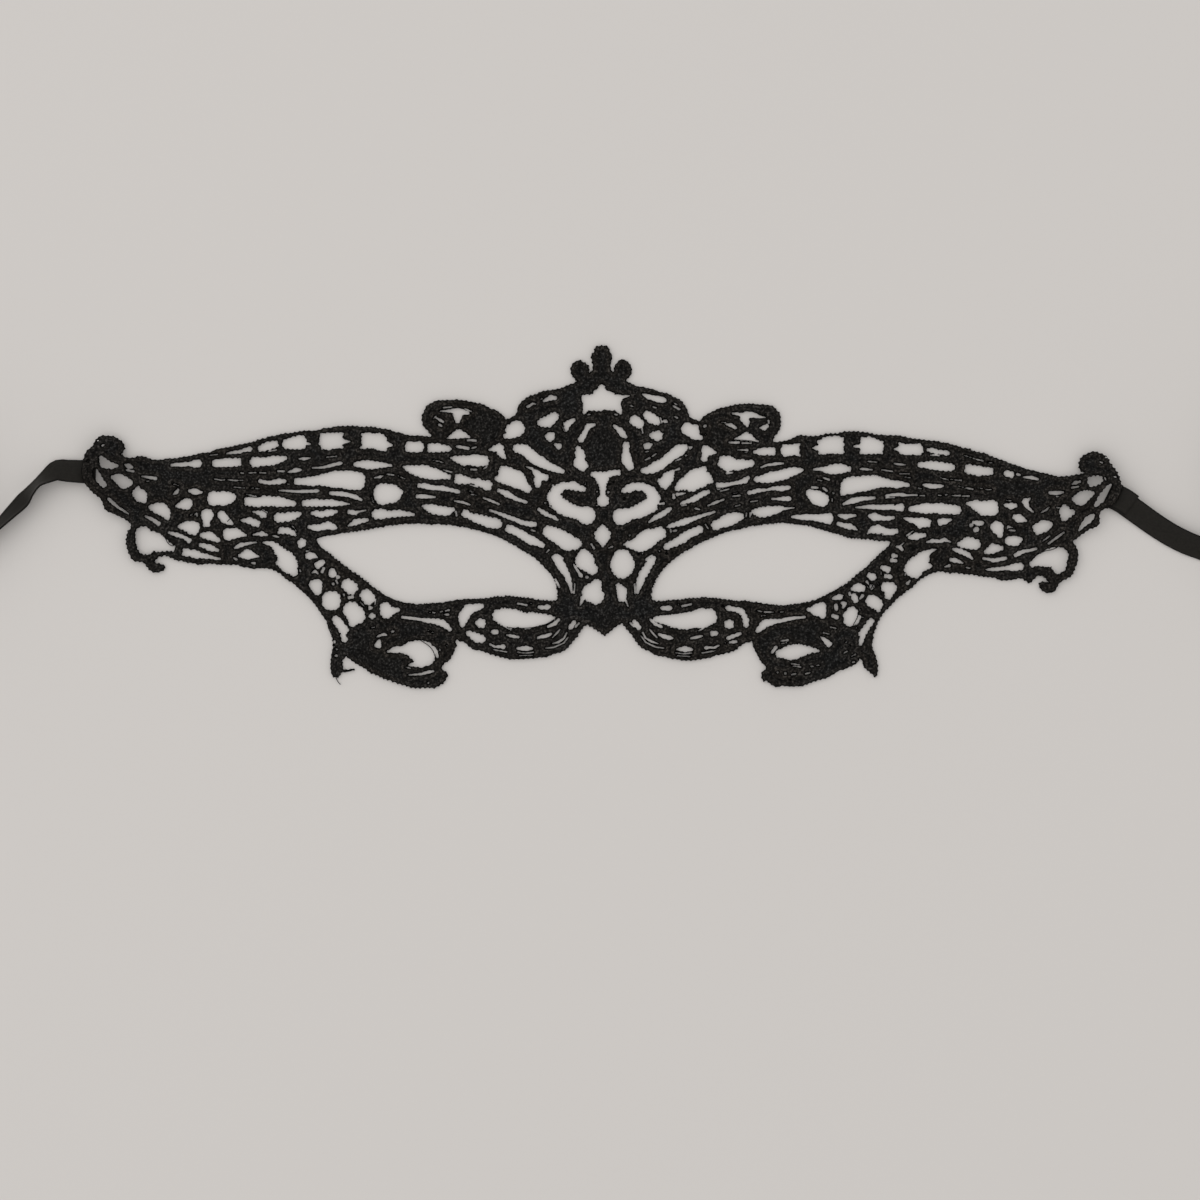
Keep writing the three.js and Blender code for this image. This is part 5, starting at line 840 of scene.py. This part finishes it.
def note_link(disc, next_disc, start, is_first, is_last):
    """The distance to the outline round two discs of a string; negative inside it. Gives their spacing."""
    (ax, ay, ra), (bx, by, rb) = disc, next_disc
    length = math.hypot(bx - ax, by - ay)
    ux, uy = (bx - ax) / max(length, TINY), (by - ay) / max(length, TINY)
    lean = np.clip((ra - rb) / max(length, TINY), -0.999, 0.999)
    rise = math.sqrt(1 - lean ** 2)
    big = max(ra, rb)
    part, x, y = window(min(ax, bx) - big, max(ax, bx) + big, min(ay, by) - big, max(ay, by) + big)
    qx = (x - ax) * ux + (y - ay) * uy
    qy = np.abs((y - ay) * ux - (x - ax) * uy)
    foot = qx - qy * lean / rise
    first = cap_distance(qx, qy, ra, is_first) - ra
    last = cap_distance(qx - length, qy, rb, is_last) - rb
    side = qx * lean + qy * rise - ra
    distance = np.where(foot < 0, first, np.where(foot > length, last, side))
    after = np.where(foot > length, length + rb * np.arctan2(qx - length, qy), foot)
    along = np.where(foot < 0, -ra * np.arctan2(-qx, qy), after)
    radius_there = ra + (rb - ra) * np.clip(foot / max(length, TINY), 0, 1)
    note(part, distance, start + along, np.clip(radius_there / CALM_RADIUS, LEAST_ROOM, 1))
    return length


for string in strings:
    if len(string) == 1:
        string = np.vstack([string, string + [1e-3, 0, 0]])
    start = string[0][0] * OUT_OF_STEP
    for k in range(len(string) - 1):
        start += note_link(string[k], string[k + 1], start, k == 0, k == len(string) - 2)
print("lace covers", round(float((across_edge > 0).sum()) * STEP ** 2), "square mm")

# %% [markdown]
# ## Relief of the lace
# Every edge carries a cord: satin stitches wrapped closely over a padding thread. Between two cords lie
# flat rows of filling stitches. The outline shows where each bundle of stitches turns round, as bumps a
# little over a millimetre apart. A tube bent along each edge would make the cords, but hundreds of tubes
# would have to be joined where they meet. Here all of it is one height over the table, worked out from
# the two numbers of the map, with some unevenness as from a hand. Cords then run into each other by
# themselves.

# %% Smooth noise, over the grid and along the edges
EDGE_KNOTS = 4001  # after this many cells the values along an edge come round again


def soft_noise(cell):
    """Smooth random values from -1 to 1 over the grid, with hills about a cell wide."""
    rows, columns = (int(n * STEP / cell) + 3 for n in across_edge.shape)
    knots = generator.uniform(-1, 1, (rows, columns))
    u, v = np.arange(across_edge.shape[1]) * STEP / cell, np.arange(across_edge.shape[0]) * STEP / cell
    i, j = u.astype(int), v.astype(int)
    s, t = (w * w * (3 - 2 * w) for w in (u - i, (v - j)[:, None]))
    top = knots[j][:, i] * (1 - s) + knots[j][:, i + 1] * s
    low = knots[j + 1][:, i] * (1 - s) + knots[j + 1][:, i + 1] * s
    return top * (1 - t) + low * t


def edge_noise(cell):
    """Smooth random values from -1 to 1 along every edge, with bumps about two cells apart."""
    knots = generator.uniform(-1, 1, EDGE_KNOTS)
    u = along_edge / cell
    i = np.floor(u).astype(int)
    t = (u - i) ** 2 * (3 - 2 * (u - i))
    return knots[i % EDGE_KNOTS] * (1 - t) + knots[(i + 1) % EDGE_KNOTS] * t


# %% Bumps of the outline
STITCH = 1.2  # from one bundle of stitches to the next, along an edge
EVEN_BUMP = 0.16  # how far every bundle stands out
LOOSE_BUMP = 0.17  # and how much further, or less far, by chance
FINE_BUMP = 0.04  # and the roughness of single threads
STITCH_DRIFT = 0.2  # bundles lie closer in some places than in others, by this share of a bundle
NARROWING = 0.5  # makes the bumps narrower than the hollows between them
BUMP_FADE = 1.2  # the bumps die away about this far from the edge

phase = 2 * math.pi * (along_edge / STITCH + STITCH_DRIFT * soft_noise(3))
strength = 0.8 + 0.5 * soft_noise(5)
bumps = EVEN_BUMP * np.cos(phase + NARROWING * np.sin(phase)) * strength
bumps += LOOSE_BUMP * edge_noise(1.4) + FINE_BUMP * soft_noise(0.8)
depth = across_edge + roominess * bumps * np.exp(-np.abs(across_edge) / BUMP_FADE)
print("bumps reach, mm:", bumps.min().round(2), bumps.max().round(2))

# %% Height over the table
RIM_HEIGHT = 0.42  # where the top and the underside meet, at the edge
CREST = 0.78  # from there up to the top of a cord
BELLY = 0.36  # and down to the underside
CORD = 0.74  # half the width of the corded edge
ROW = 1.25  # width of one row of filling stitches
FILLING, ROW_RISE, FILLING_DRIFT = 0.34, 0.12, 0.1  # height of the filling, as shares of the crest
STITCH_RISE = 0.06  # each bundle of stitches
FIBRE_RISE = 0.03  # loose fibres
LIE_RISE = 0.12  # the slow rise and fall of the whole lace
STITCH_SLANT = 0.3  # how the stitches lean: turns of their wave for each millimetre inward
STITCH_FADE, FIBRE_FADE = 0.3, 0.4  # both start at the edge and are full this far inward


def cord_section(d):
    """A half circle over the width of a cord: 0 at its edge and 1 at its crest."""
    return np.sqrt(np.clip(1 - ((d - CORD) / CORD) ** 2, 0, 1))


d = np.maximum(depth, 0)
rows = np.abs(np.sin(math.pi * (d - 2 * CORD) / ROW))
filling = FILLING + ROW_RISE * rows + FILLING_DRIFT * soft_noise(3)
inner = np.clip((d - CORD) / (0.7 * CORD), 0, 1) * filling  # it rises behind the crest of the cord
height = RIM_HEIGHT + CREST * np.maximum(cord_section(d), inner) ** 0.9
stitches = np.cos(phase + 2 * math.pi * STITCH_SLANT * d) * np.clip(d / STITCH_FADE, 0, 1)
height += STITCH_RISE * stitches + FIBRE_RISE * soft_noise(0.6) * np.clip(d / FIBRE_FADE, 0, 1)
height += LIE_RISE * soft_noise(9)
under = RIM_HEIGHT - BELLY * cord_section(np.minimum(d, CORD))
print("greatest height over the table, mm:", height[depth > 0].max().round(2))

# %% [markdown]
# ## The lace as a mesh
# Blender could cut the openings with Boolean modifiers, but so many of them would be slow and leave
# ragged faces. Instead each square of the grid is split into two triangles, and the triangles are cut off
# where the depth falls to nothing. The top and the underside share the points along the edge, so the mesh
# closes there into a round rim. Six pieces keep each mesh light. They meet along straight joints, and
# share their normals, so the joints don't show.

# %% Cutting the grid along the outline
CLOSEST_CUT = 0.03  # a cut keeps this share of a grid step from both of its points, so no face gets too thin


def cut_grid(value):
    """The grid's triangles where value is positive: points as (node, node, share), and faces."""
    rows, columns = value.shape
    index = np.arange(rows * columns).reshape(rows, columns)
    a, b, c, e = index[:-1, :-1], index[:-1, 1:], index[1:, 1:], index[1:, :-1]
    halves = [np.stack([a, b, c], -1), np.stack([a, c, e], -1)]
    triangles = np.concatenate([half.reshape(-1, 3) for half in halves])
    flat = value.ravel()
    inside = flat[triangles] > 0
    count = inside.sum(1)

    def rolled(rows_of, first):
        """The same triangles, each beginning with the given corner."""
        return np.take_along_axis(rows_of, (first[:, None] + np.arange(3)) % 3, 1)

    def crossing(p, q):
        """A number of its own for the point where the outline crosses between two nodes."""
        return np.minimum(p, q) * flat.size + np.maximum(p, q) + flat.size

    one = rolled(triangles[count == 1], inside[count == 1].argmax(1))
    two = rolled(triangles[count == 2], (~inside[count == 2]).argmax(1))
    first, last = crossing(two[:, 0], two[:, 1]), crossing(two[:, 0], two[:, 2])
    tips = [one[:, 0], crossing(one[:, 0], one[:, 1]), crossing(one[:, 0], one[:, 2])]
    quads = [np.stack([first, two[:, 1], two[:, 2]], 1), np.stack([first, two[:, 2], last], 1)]
    faces = np.concatenate([triangles[count == 3], np.stack(tips, 1), *quads])
    keys, faces = np.unique(faces, return_inverse=True)
    on_edge = keys >= flat.size
    p = np.where(on_edge, (keys - flat.size) // flat.size, keys)
    q = np.where(on_edge, (keys - flat.size) % flat.size, keys)
    share = np.where(on_edge, flat[p] / np.where(on_edge, flat[p] - flat[q], 1), 0)
    return p, q, np.clip(share, CLOSEST_CUT, 1 - CLOSEST_CUT) * on_edge, on_edge, faces.reshape(-1, 3)


p, q, share, on_edge, top_faces = cut_grid(depth)
print(len(p), "points on the top")

# %% Points and faces of both sides
FLAT_HALF = 104.0  # beyond this far from the middle the ends of the mask lift off the table
TIP_REACH = 26.0
TIP_RISE = 2.8


def tip_lift(x):
    """How far the mask is lifted off the table at x."""
    return TIP_RISE * (np.maximum(0, np.abs(x) - FLAT_HALF) / TIP_REACH) ** 2


def at_points(values):
    """A map's values at the points of the mesh."""
    flat = values.ravel()
    return flat[p] * (1 - share) + flat[q] * share


plan_x = at_points(np.broadcast_to(grid_x, depth.shape))
plan_y = at_points(np.broadcast_to(grid_y[:, None], depth.shape))
lift = tip_lift(plan_x)
top_z = np.where(on_edge, RIM_HEIGHT, height.ravel()[p]) + lift
low_z = np.where(on_edge, RIM_HEIGHT, under.ravel()[p]) + lift
points = np.vstack([np.column_stack([plan_x, plan_y, top_z]), np.column_stack([plan_x, plan_y, low_z])])
low_faces = (top_faces + len(plan_x) * ~on_edge[top_faces])[:, ::-1]
weave = np.tile(np.column_stack([along_edge.ravel()[p], np.where(on_edge, 0, depth.ravel()[p])]), (2, 1))
print(len(top_faces) * 2, "triangles")

# %% Normals of the whole lace
every_face = np.concatenate([top_faces, low_faces])
corners = points[every_face]
face_normals = np.cross(corners[:, 1] - corners[:, 0], corners[:, 2] - corners[:, 0])
normals = np.zeros_like(points)
for k in range(3):
    for axis in range(3):
        normals[:, axis] += np.bincount(every_face[:, k], face_normals[:, axis], len(points))
normals /= np.maximum(np.linalg.norm(normals, axis=1), 1e-12)[:, None]
print(len(normals), "normals")

# %% The pieces of the lace
JOINTS = [-84.0, -42.0, 0.0, 42.0, 84.0]


def joint_walls(top):
    """Faces that close a piece where the next one meets it."""
    sides = np.concatenate([top[:, [0, 1]], top[:, [1, 2]], top[:, [2, 0]]])
    _, first, times = np.unique(np.sort(sides, axis=1), axis=0, return_index=True, return_counts=True)
    rim = sides[first[times == 1]]
    joint = rim[~(on_edge[rim].all(1))]
    down = joint + len(plan_x) * ~on_edge[joint]
    walls = np.concatenate([np.stack([joint[:, 1], joint[:, 0], down[:, 0]], 1),
                            np.stack([joint[:, 1], down[:, 0], down[:, 1]], 1)])
    a, b, c = walls.T
    return walls[(a != b) & (b != c) & (a != c)]


band_of = np.searchsorted(JOINTS, points[top_faces][:, :, 0].mean(1))
lace = []
for band in range(len(JOINTS) + 1):
    top, low = top_faces[band_of == band], low_faces[band_of == band]
    used, faces = np.unique(np.concatenate([top, low, joint_walls(top)]), return_inverse=True)
    piece = new_mesh_object(f"lace_{band + 1}", points[used], faces.reshape(-1, 3).tolist(), weave[used])
    piece.data.normals_split_custom_set_from_vertices(normals[used].tolist())
    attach(piece, "root")
    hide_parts("lace")
    lace.append(piece)
    print(piece.name, len(piece.data.polygons), "triangles")

# %% [markdown]
# ## Stray threads
# Where the stitching jumps from one part to the next, a single thread is left across an opening, and a
# cut end hangs out here and there. A thread is no wider than the grid's step, so it can't be part of the
# map. Each is a thin tube along a few points. Where an end doesn't hang free, it is buried in the lace.

# %% The threads' points, [x, y] in millimetres
STRAYS = [
    [[-10.3, 25.2], [-10.1, 22.8], [-9.5, 20.6]], [[-9.9, 25.3], [-9.75, 23], [-9.2, 21.2]],
    [[-46.6, -30.6], [-44.9, -31.7], [-43.6, -32.6], [-42.6, -33.9], [-42.1, -35.2], [-41.5, -36.6]],
    [[-35.5, -28.9], [-34.5, -29.8], [-33.6, -31.2]],
    [[-40.8, 27.9], [-37.5, 28.1], [-34.6, 27.7], [-33, 26.8]],
    [[-23.6, -27.9], [-21, -28.1], [-17.5, -27.9], [-14, -27], [-11.2, -25.3]],
    [[-95.2, 1.3], [-94.2, .2], [-93.3, -.6], [-92.6, -1.8]], [[-94.6, -1.2], [-93.8, -.4], [-93.2, .5]],
    [[-86.2, 1.9], [-84.9, 1.2], [-84.2, .4]], [[-78.8, -2.6], [-77.7, -3.2], [-77, -4.6]],
    [[-74.4, -8.3], [-72.6, -9], [-71, -10.8]], [[-90.6, 5.4], [-89, 5.1], [-87, 4.95], [-86, 5.2]],
    [[-67.2, -40.2], [-66.8, -41.3], [-66, -42.3]],
    [[-66.2, -38.5], [-65, -38.95], [-63.6, -38.9], [-62.6, -38.4]],
    [[-69.1, -25.6], [-69.1, -27.6], [-68.2, -29.9]],
    [[-110.4, -5], [-109.4, -6.7], [-108.3, -7.3], [-107.2, -6.6]],
    [[14.2, 26.2], [14.55, 24.8], [15.1, 23]], [[21.5, 18.7], [21.8, 17.3], [22.1, 15.6]],
    [[28.6, 7.2], [31, 7.4], [33.5, 8], [36.5, 8]], [[33, 19.5], [35.6, 19.35], [38, 19.1], [40.2, 18.5]],
    [[107.2, -11.9], [109.3, -9.9], [111.5, -8.7], [114, -8.1], [116.3, -6.6]],
    [[43.4, -36.2], [43.6, -34.4], [44.4, -33.1], [46, -32.3], [48.6, -31.5]],
    [[64.8, -23.4], [64.4, -25.4], [63.6, -26.9], [62.8, -28.6]],
    [[66.9, -15.6], [67.9, -16.8], [69.2, -19]], [[69.1, -15.6], [68.6, -16.8], [67.3, -19]],
    [[69.9, -12.8], [70.9, -14], [70.2, -15.8]],
]
print(len(STRAYS), "threads")

# %% Thin tubes
THREAD_RADIUS = 0.1
THREAD_HEIGHT = 0.55
THREAD_SIDES = 6
THREAD_STEP = 0.4


def add_thread(line_points, vertices, uvs, faces):
    """One tube along points of the table's plane, raised to the height of the lace."""
    line = np.array(smooth_curve(line_points, THREAD_STEP) + [np.array(line_points[-1], float)])
    heading = np.gradient(line, axis=0)
    heading /= np.linalg.norm(heading, axis=1)[:, None]
    start, turns = len(vertices), np.arange(THREAD_SIDES) * 2 * math.pi / THREAD_SIDES
    for k, ((x, y), (hx, hy)) in enumerate(zip(line, heading)):
        z = THREAD_HEIGHT + tip_lift(x)
        for a in turns:
            side = THREAD_RADIUS * math.cos(a)
            vertices.append((x - hy * side, y + hx * side, z + THREAD_RADIUS * math.sin(a)))
            uvs.append((THREAD_STEP * k, THREAD_RADIUS * a))
    n = THREAD_SIDES
    for i in range(len(line) - 1):
        low, high = start + i * n, start + (i + 1) * n
        faces += [(low + k, high + k, high + (k + 1) % n, low + (k + 1) % n) for k in range(n)]
    faces.append(tuple(start + k for k in range(n)))
    faces.append(tuple(len(vertices) - 1 - k for k in range(n)))


vertices, uvs, faces = [], [], []
for line_points in STRAYS:
    add_thread(line_points, vertices, uvs, faces)
strays = new_mesh_object("stray_threads", vertices, faces, uvs)
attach(strays, "root")
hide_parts("lace")
print(strays.name, len(faces), "faces")

# %% [markdown]
# ## Finishes
# The thread is black polyester: almost no colour and no shine, with fine strands that run across each
# cord. Seen close, the crest of a cord is a warm black and the fillings are neutral. Dark flecks of
# random tone lie over both, and the lightest flecks are painted glints, highlights of glossy fibre loops
# painted into the colour. The very edge is painted darkest: painted shade, where the thread turns down
# into its own shadow. The ribbon is black satin, smoother, with fine ribs across its width and a dark
# woven edge. A picture of cloth could be laid over them, but it wouldn't follow the cords. So both use
# one shared group. It draws parallel strands and measures how far a point is from the edge of the cord
# or ribbon, both from the weave map, so they follow every curve. It also gives two noises, one for the
# flecks and one for the slow drift of the colour.

# %% Helpers for shader nodes
def new_group(name, inputs, outputs):
    """A node group with number sockets, and the nodes that hold its inputs and outputs."""
    group = bpy.data.node_groups.new(name, "ShaderNodeTree")
    for socket, value in inputs:
        made = group.interface.new_socket(socket, in_out="INPUT", socket_type="NodeSocketFloat")
        made.default_value = value
    for socket in outputs:
        group.interface.new_socket(socket, in_out="OUTPUT", socket_type="NodeSocketFloat")
    return group, group.nodes.new("NodeGroupInput"), group.nodes.new("NodeGroupOutput")


def maths(tree, operation, *values):
    """A Math node with numbers or sockets as its inputs; gives its output."""
    node = tree.nodes.new("ShaderNodeMath")
    node.operation = operation
    for socket, value in zip(node.inputs, values):
        if isinstance(value, (int, float)):
            socket.default_value = value
        else:
            tree.links.new(value, socket)
    return node.outputs[0]


def noise(tree, size, detail):
    """Noise with lumps about a size in millimetres across, fixed to the object."""
    place, node = tree.nodes.new("ShaderNodeTexCoord"), tree.nodes.new("ShaderNodeTexNoise")
    node.inputs["Scale"].default_value = 1000 / size
    node.inputs["Detail"].default_value = detail
    tree.links.new(place.outputs["Object"], node.inputs["Vector"])
    return node.outputs["Fac"]


# %% Shared group: strands, speck noise and the distance to the edge
WAVER_SIZE, SPECK_SIZE, DRIFT_SIZE = 1.1, 0.5, 14  # millimetres


def strand_group():
    """Height: strands. Edge: millimetres from the edge. Specks and Drift: noise."""
    group, enter, leave = new_group(
        "strands", [("Pitch", 0.3), ("Slant", 0.0), ("Unevenness", 1.0), ("Half Width", 0.0)],
        ["Height", "Edge", "Specks", "Drift"])
    uv = group.nodes.new("ShaderNodeUVMap")
    uv.uv_map = "weave"
    split = group.nodes.new("ShaderNodeSeparateXYZ")
    group.links.new(uv.outputs["UV"], split.inputs[0])
    slanted = maths(group, "MULTIPLY_ADD", split.outputs["Y"], enter.outputs["Slant"], split.outputs["X"])
    turns = maths(group, "DIVIDE", slanted, enter.outputs["Pitch"])
    waver = maths(group, "MULTIPLY", noise(group, WAVER_SIZE, 2), enter.outputs["Unevenness"])
    wave = maths(group, "SINE", maths(group, "MULTIPLY", maths(group, "ADD", turns, waver), 2 * math.pi))
    across = maths(group, "ABSOLUTE", split.outputs["Y"])
    inward = maths(group, "SUBTRACT", enter.outputs["Half Width"], across)
    group.links.new(maths(group, "MULTIPLY_ADD", wave, 0.5, 0.5), leave.inputs["Height"])
    group.links.new(maths(group, "ABSOLUTE", inward), leave.inputs["Edge"])
    group.links.new(noise(group, SPECK_SIZE, 3), leave.inputs["Specks"])
    group.links.new(noise(group, DRIFT_SIZE, 1), leave.inputs["Drift"])
    return group


STRANDS = strand_group()
print(STRANDS.name, len(STRANDS.nodes), "nodes")


# %% Helpers for colours
def ramp(tree, value, *stops):
    """A colour ramp through (place, colour) stops; a colour may be one grey number. Gives its output."""
    node = tree.nodes.new("ShaderNodeValToRGB")
    elements = node.color_ramp.elements
    while len(elements) < len(stops):
        elements.new(0.5)
    for element, (place, colour) in zip(elements, stops):
        element.position = place
        element.color = (*colour, 1) if isinstance(colour, tuple) else (colour, colour, colour, 1)
    tree.links.new(value, node.inputs["Fac"])
    return node.outputs["Color"]


def multiplied(tree, colour, factor):
    """One colour times another; gives the output."""
    mix = tree.nodes.new("ShaderNodeMix")
    mix.data_type = "RGBA"
    mix.blend_type = "MULTIPLY"
    mix.clamp_result = False
    mix.inputs["Factor"].default_value = 1
    tree.links.new(colour, mix.inputs[6])
    tree.links.new(factor, mix.inputs[7])
    return mix.outputs[2]


# %% A material for thread or satin
RAMP_REACH = 2.0  # millimetres from the edge that the colour ramp covers
SPECK_GAIN = 4.0  # the ramps of factors hold a quarter of each factor
ROUGHNESS_SPREAD = 0.3


def cloth_material(name, tones, mottle_and_glint_stops, warmth, roughness, specular, strand_values, bump_height):
    """tones: (millimetres from the edge, colour); on the thread the darkest, at the edge, is painted shade.
    Speck stops: (noise, factor), random tone; the thread's top stop paints glints. warmth: the drift's tint.
    """
    material = bpy.data.materials.new(name)
    material.use_nodes = True
    tree = material.node_tree
    shader = tree.nodes["Principled BSDF"]
    shader.inputs["Specular IOR Level"].default_value = specular
    strands = tree.nodes.new("ShaderNodeGroup")
    strands.node_tree = STRANDS
    for socket, value in strand_values.items():
        strands.inputs[socket].default_value = value
    from_edge = maths(tree, "DIVIDE", strands.outputs["Edge"], RAMP_REACH)
    # The tone ramp runs from the edge inward; on the thread its near-black edge tone is painted shade.
    colour = ramp(tree, from_edge, *[(mm / RAMP_REACH, tone) for mm, tone in tones])
    # The speck ramp gives random tone, and on the thread its top stop paints glints of glossy fibres.
    factors = [(at, factor / SPECK_GAIN) for at, factor in mottle_and_glint_stops]
    mottle_and_glints = ramp(tree, strands.outputs["Specks"], *factors)
    drift = ramp(tree, strands.outputs["Drift"], (0.35, (1.0, 1.0, 1.0)), (0.65, warmth))
    colour = multiplied(tree, multiplied(tree, colour, mottle_and_glints), drift)
    tree.links.new(colour, shader.inputs["Base Color"])
    rough = maths(tree, "MULTIPLY_ADD", strands.outputs["Specks"], ROUGHNESS_SPREAD,
                  roughness - ROUGHNESS_SPREAD / 2)
    tree.links.new(rough, shader.inputs["Roughness"])
    bump = tree.nodes.new("ShaderNodeBump")
    bump.inputs["Distance"].default_value = bump_height * MM
    tree.links.new(strands.outputs["Height"], bump.inputs["Height"])
    tree.links.new(bump.outputs["Normal"], shader.inputs["Normal"])
    return material


# %% The two materials
# The tones are four times lighter than they look, because the ramp of factors holds a quarter of each.
thread = cloth_material(
    "black_thread",
    # The first tone, near black at the very edge, is painted shade where the thread turns down into its own
    # shadow.
    tones=[(0.12, (0.006, 0.006, 0.006)), (0.45, (0.062, 0.058, 0.054)), (1.1, (0.059, 0.055, 0.052)),
           (1.6, (0.045, 0.045, 0.045))],
    # The top stop lightens the rarest flecks into painted glints of glossy fibre loops; the others are
    # random tone.
    mottle_and_glint_stops=[(0.36, 0.35), (0.48, 0.82), (0.56, 1.15), (0.65, 3.6)],
    warmth=(1.0, 0.95, 0.9), roughness=0.8, specular=0.03,
    strand_values={"Pitch": 0.32, "Slant": 0.25, "Unevenness": 0.7}, bump_height=0.05)
satin = cloth_material(
    "black_satin",
    tones=[(0.1, (0.022, 0.021, 0.019)), (0.45, (0.060, 0.055, 0.049)), (1.6, (0.055, 0.051, 0.045))],
    mottle_and_glint_stops=[(0.3, 0.8), (0.7, 1.2)],
    warmth=(1.0, 0.97, 0.93), roughness=0.4, specular=0.07,
    strand_values={"Pitch": 0.28, "Unevenness": 0.25, "Half Width": RIBBON_WIDTH / 2}, bump_height=0.02)
for piece in [*lace, strays]:
    piece.data.materials.append(thread)
for ribbon in ribbons:
    ribbon.data.materials.append(satin)
print(thread.name, "on", len(lace) + 1, "pieces,", satin.name, "on", len(ribbons))

# %% [markdown]
# ## Table and light
# The photograph has a pale, almost even grey table, and only faint, close, soft shadows. Light comes from
# all round, a little stronger from the upper left. A small lamp would throw hard shadows, so one broad
# lamp high on that side and a bright surround are used.

# %% Table
TABLE_HALF = 3.0  # metres
table_mesh = bpy.data.meshes.new("table")
table_corners = [(-TABLE_HALF, -TABLE_HALF, 0), (TABLE_HALF, -TABLE_HALF, 0), (TABLE_HALF, TABLE_HALF, 0),
                 (-TABLE_HALF, TABLE_HALF, 0)]
table_mesh.from_pydata(table_corners, [], [(0, 1, 2, 3)])
table = bpy.data.objects.new("table", table_mesh)
bpy.context.scene.collection.objects.link(table)
table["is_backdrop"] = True
paper = bpy.data.materials.new("table_paper")
paper.use_nodes = True
paper_shader = paper.node_tree.nodes["Principled BSDF"]
paper_shader.inputs["Base Color"].default_value = (0.62, 0.60, 0.586, 1)
paper_shader.inputs["Roughness"].default_value = 0.95
paper_shader.inputs["Specular IOR Level"].default_value = 0.1
table_mesh.materials.append(paper)
print("table,", 2 * TABLE_HALF, "m wide")

# %% Light
world = bpy.data.worlds.new("soft_room")
bpy.context.scene.world = world
world.use_nodes = True
surround = world.node_tree.nodes["Background"]
surround.inputs["Color"].default_value = (1, 0.985, 0.965, 1)
surround.inputs["Strength"].default_value = 0.81

lamp_data = bpy.data.lights.new("window_light", "AREA")
lamp_data.shape = "DISK"
lamp_data.size = 3.0
lamp_data.energy = 12
lamp_data.color = (1, 0.985, 0.96)
lamp = bpy.data.objects.new("window_light", lamp_data)
LAMP_PLACE = np.array([-0.8, 0.5, 1.8])
to_mask = -LAMP_PLACE
lamp.location = LAMP_PLACE
slope = math.atan2(-to_mask[2], math.hypot(*to_mask[:2]))
lamp.rotation_euler = (math.pi / 2 - slope, 0, math.atan2(to_mask[1], to_mask[0]) - math.pi / 2)
bpy.context.scene.collection.objects.link(lamp)
bpy.context.scene.view_settings.view_transform = "Standard"
print("lamp,", lamp_data.energy, "W, turned by", [round(math.degrees(a)) for a in lamp.rotation_euler])

# %% [markdown]
# ## Sizes
# The box of everything seen now is printed. It could be measured in Blender's side panel, but printed
# numbers can be compared again later.

# %% The scene's size
low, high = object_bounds()
print("scene box, mm:", [round(v / MM, 1) for v in (*low, *high)])
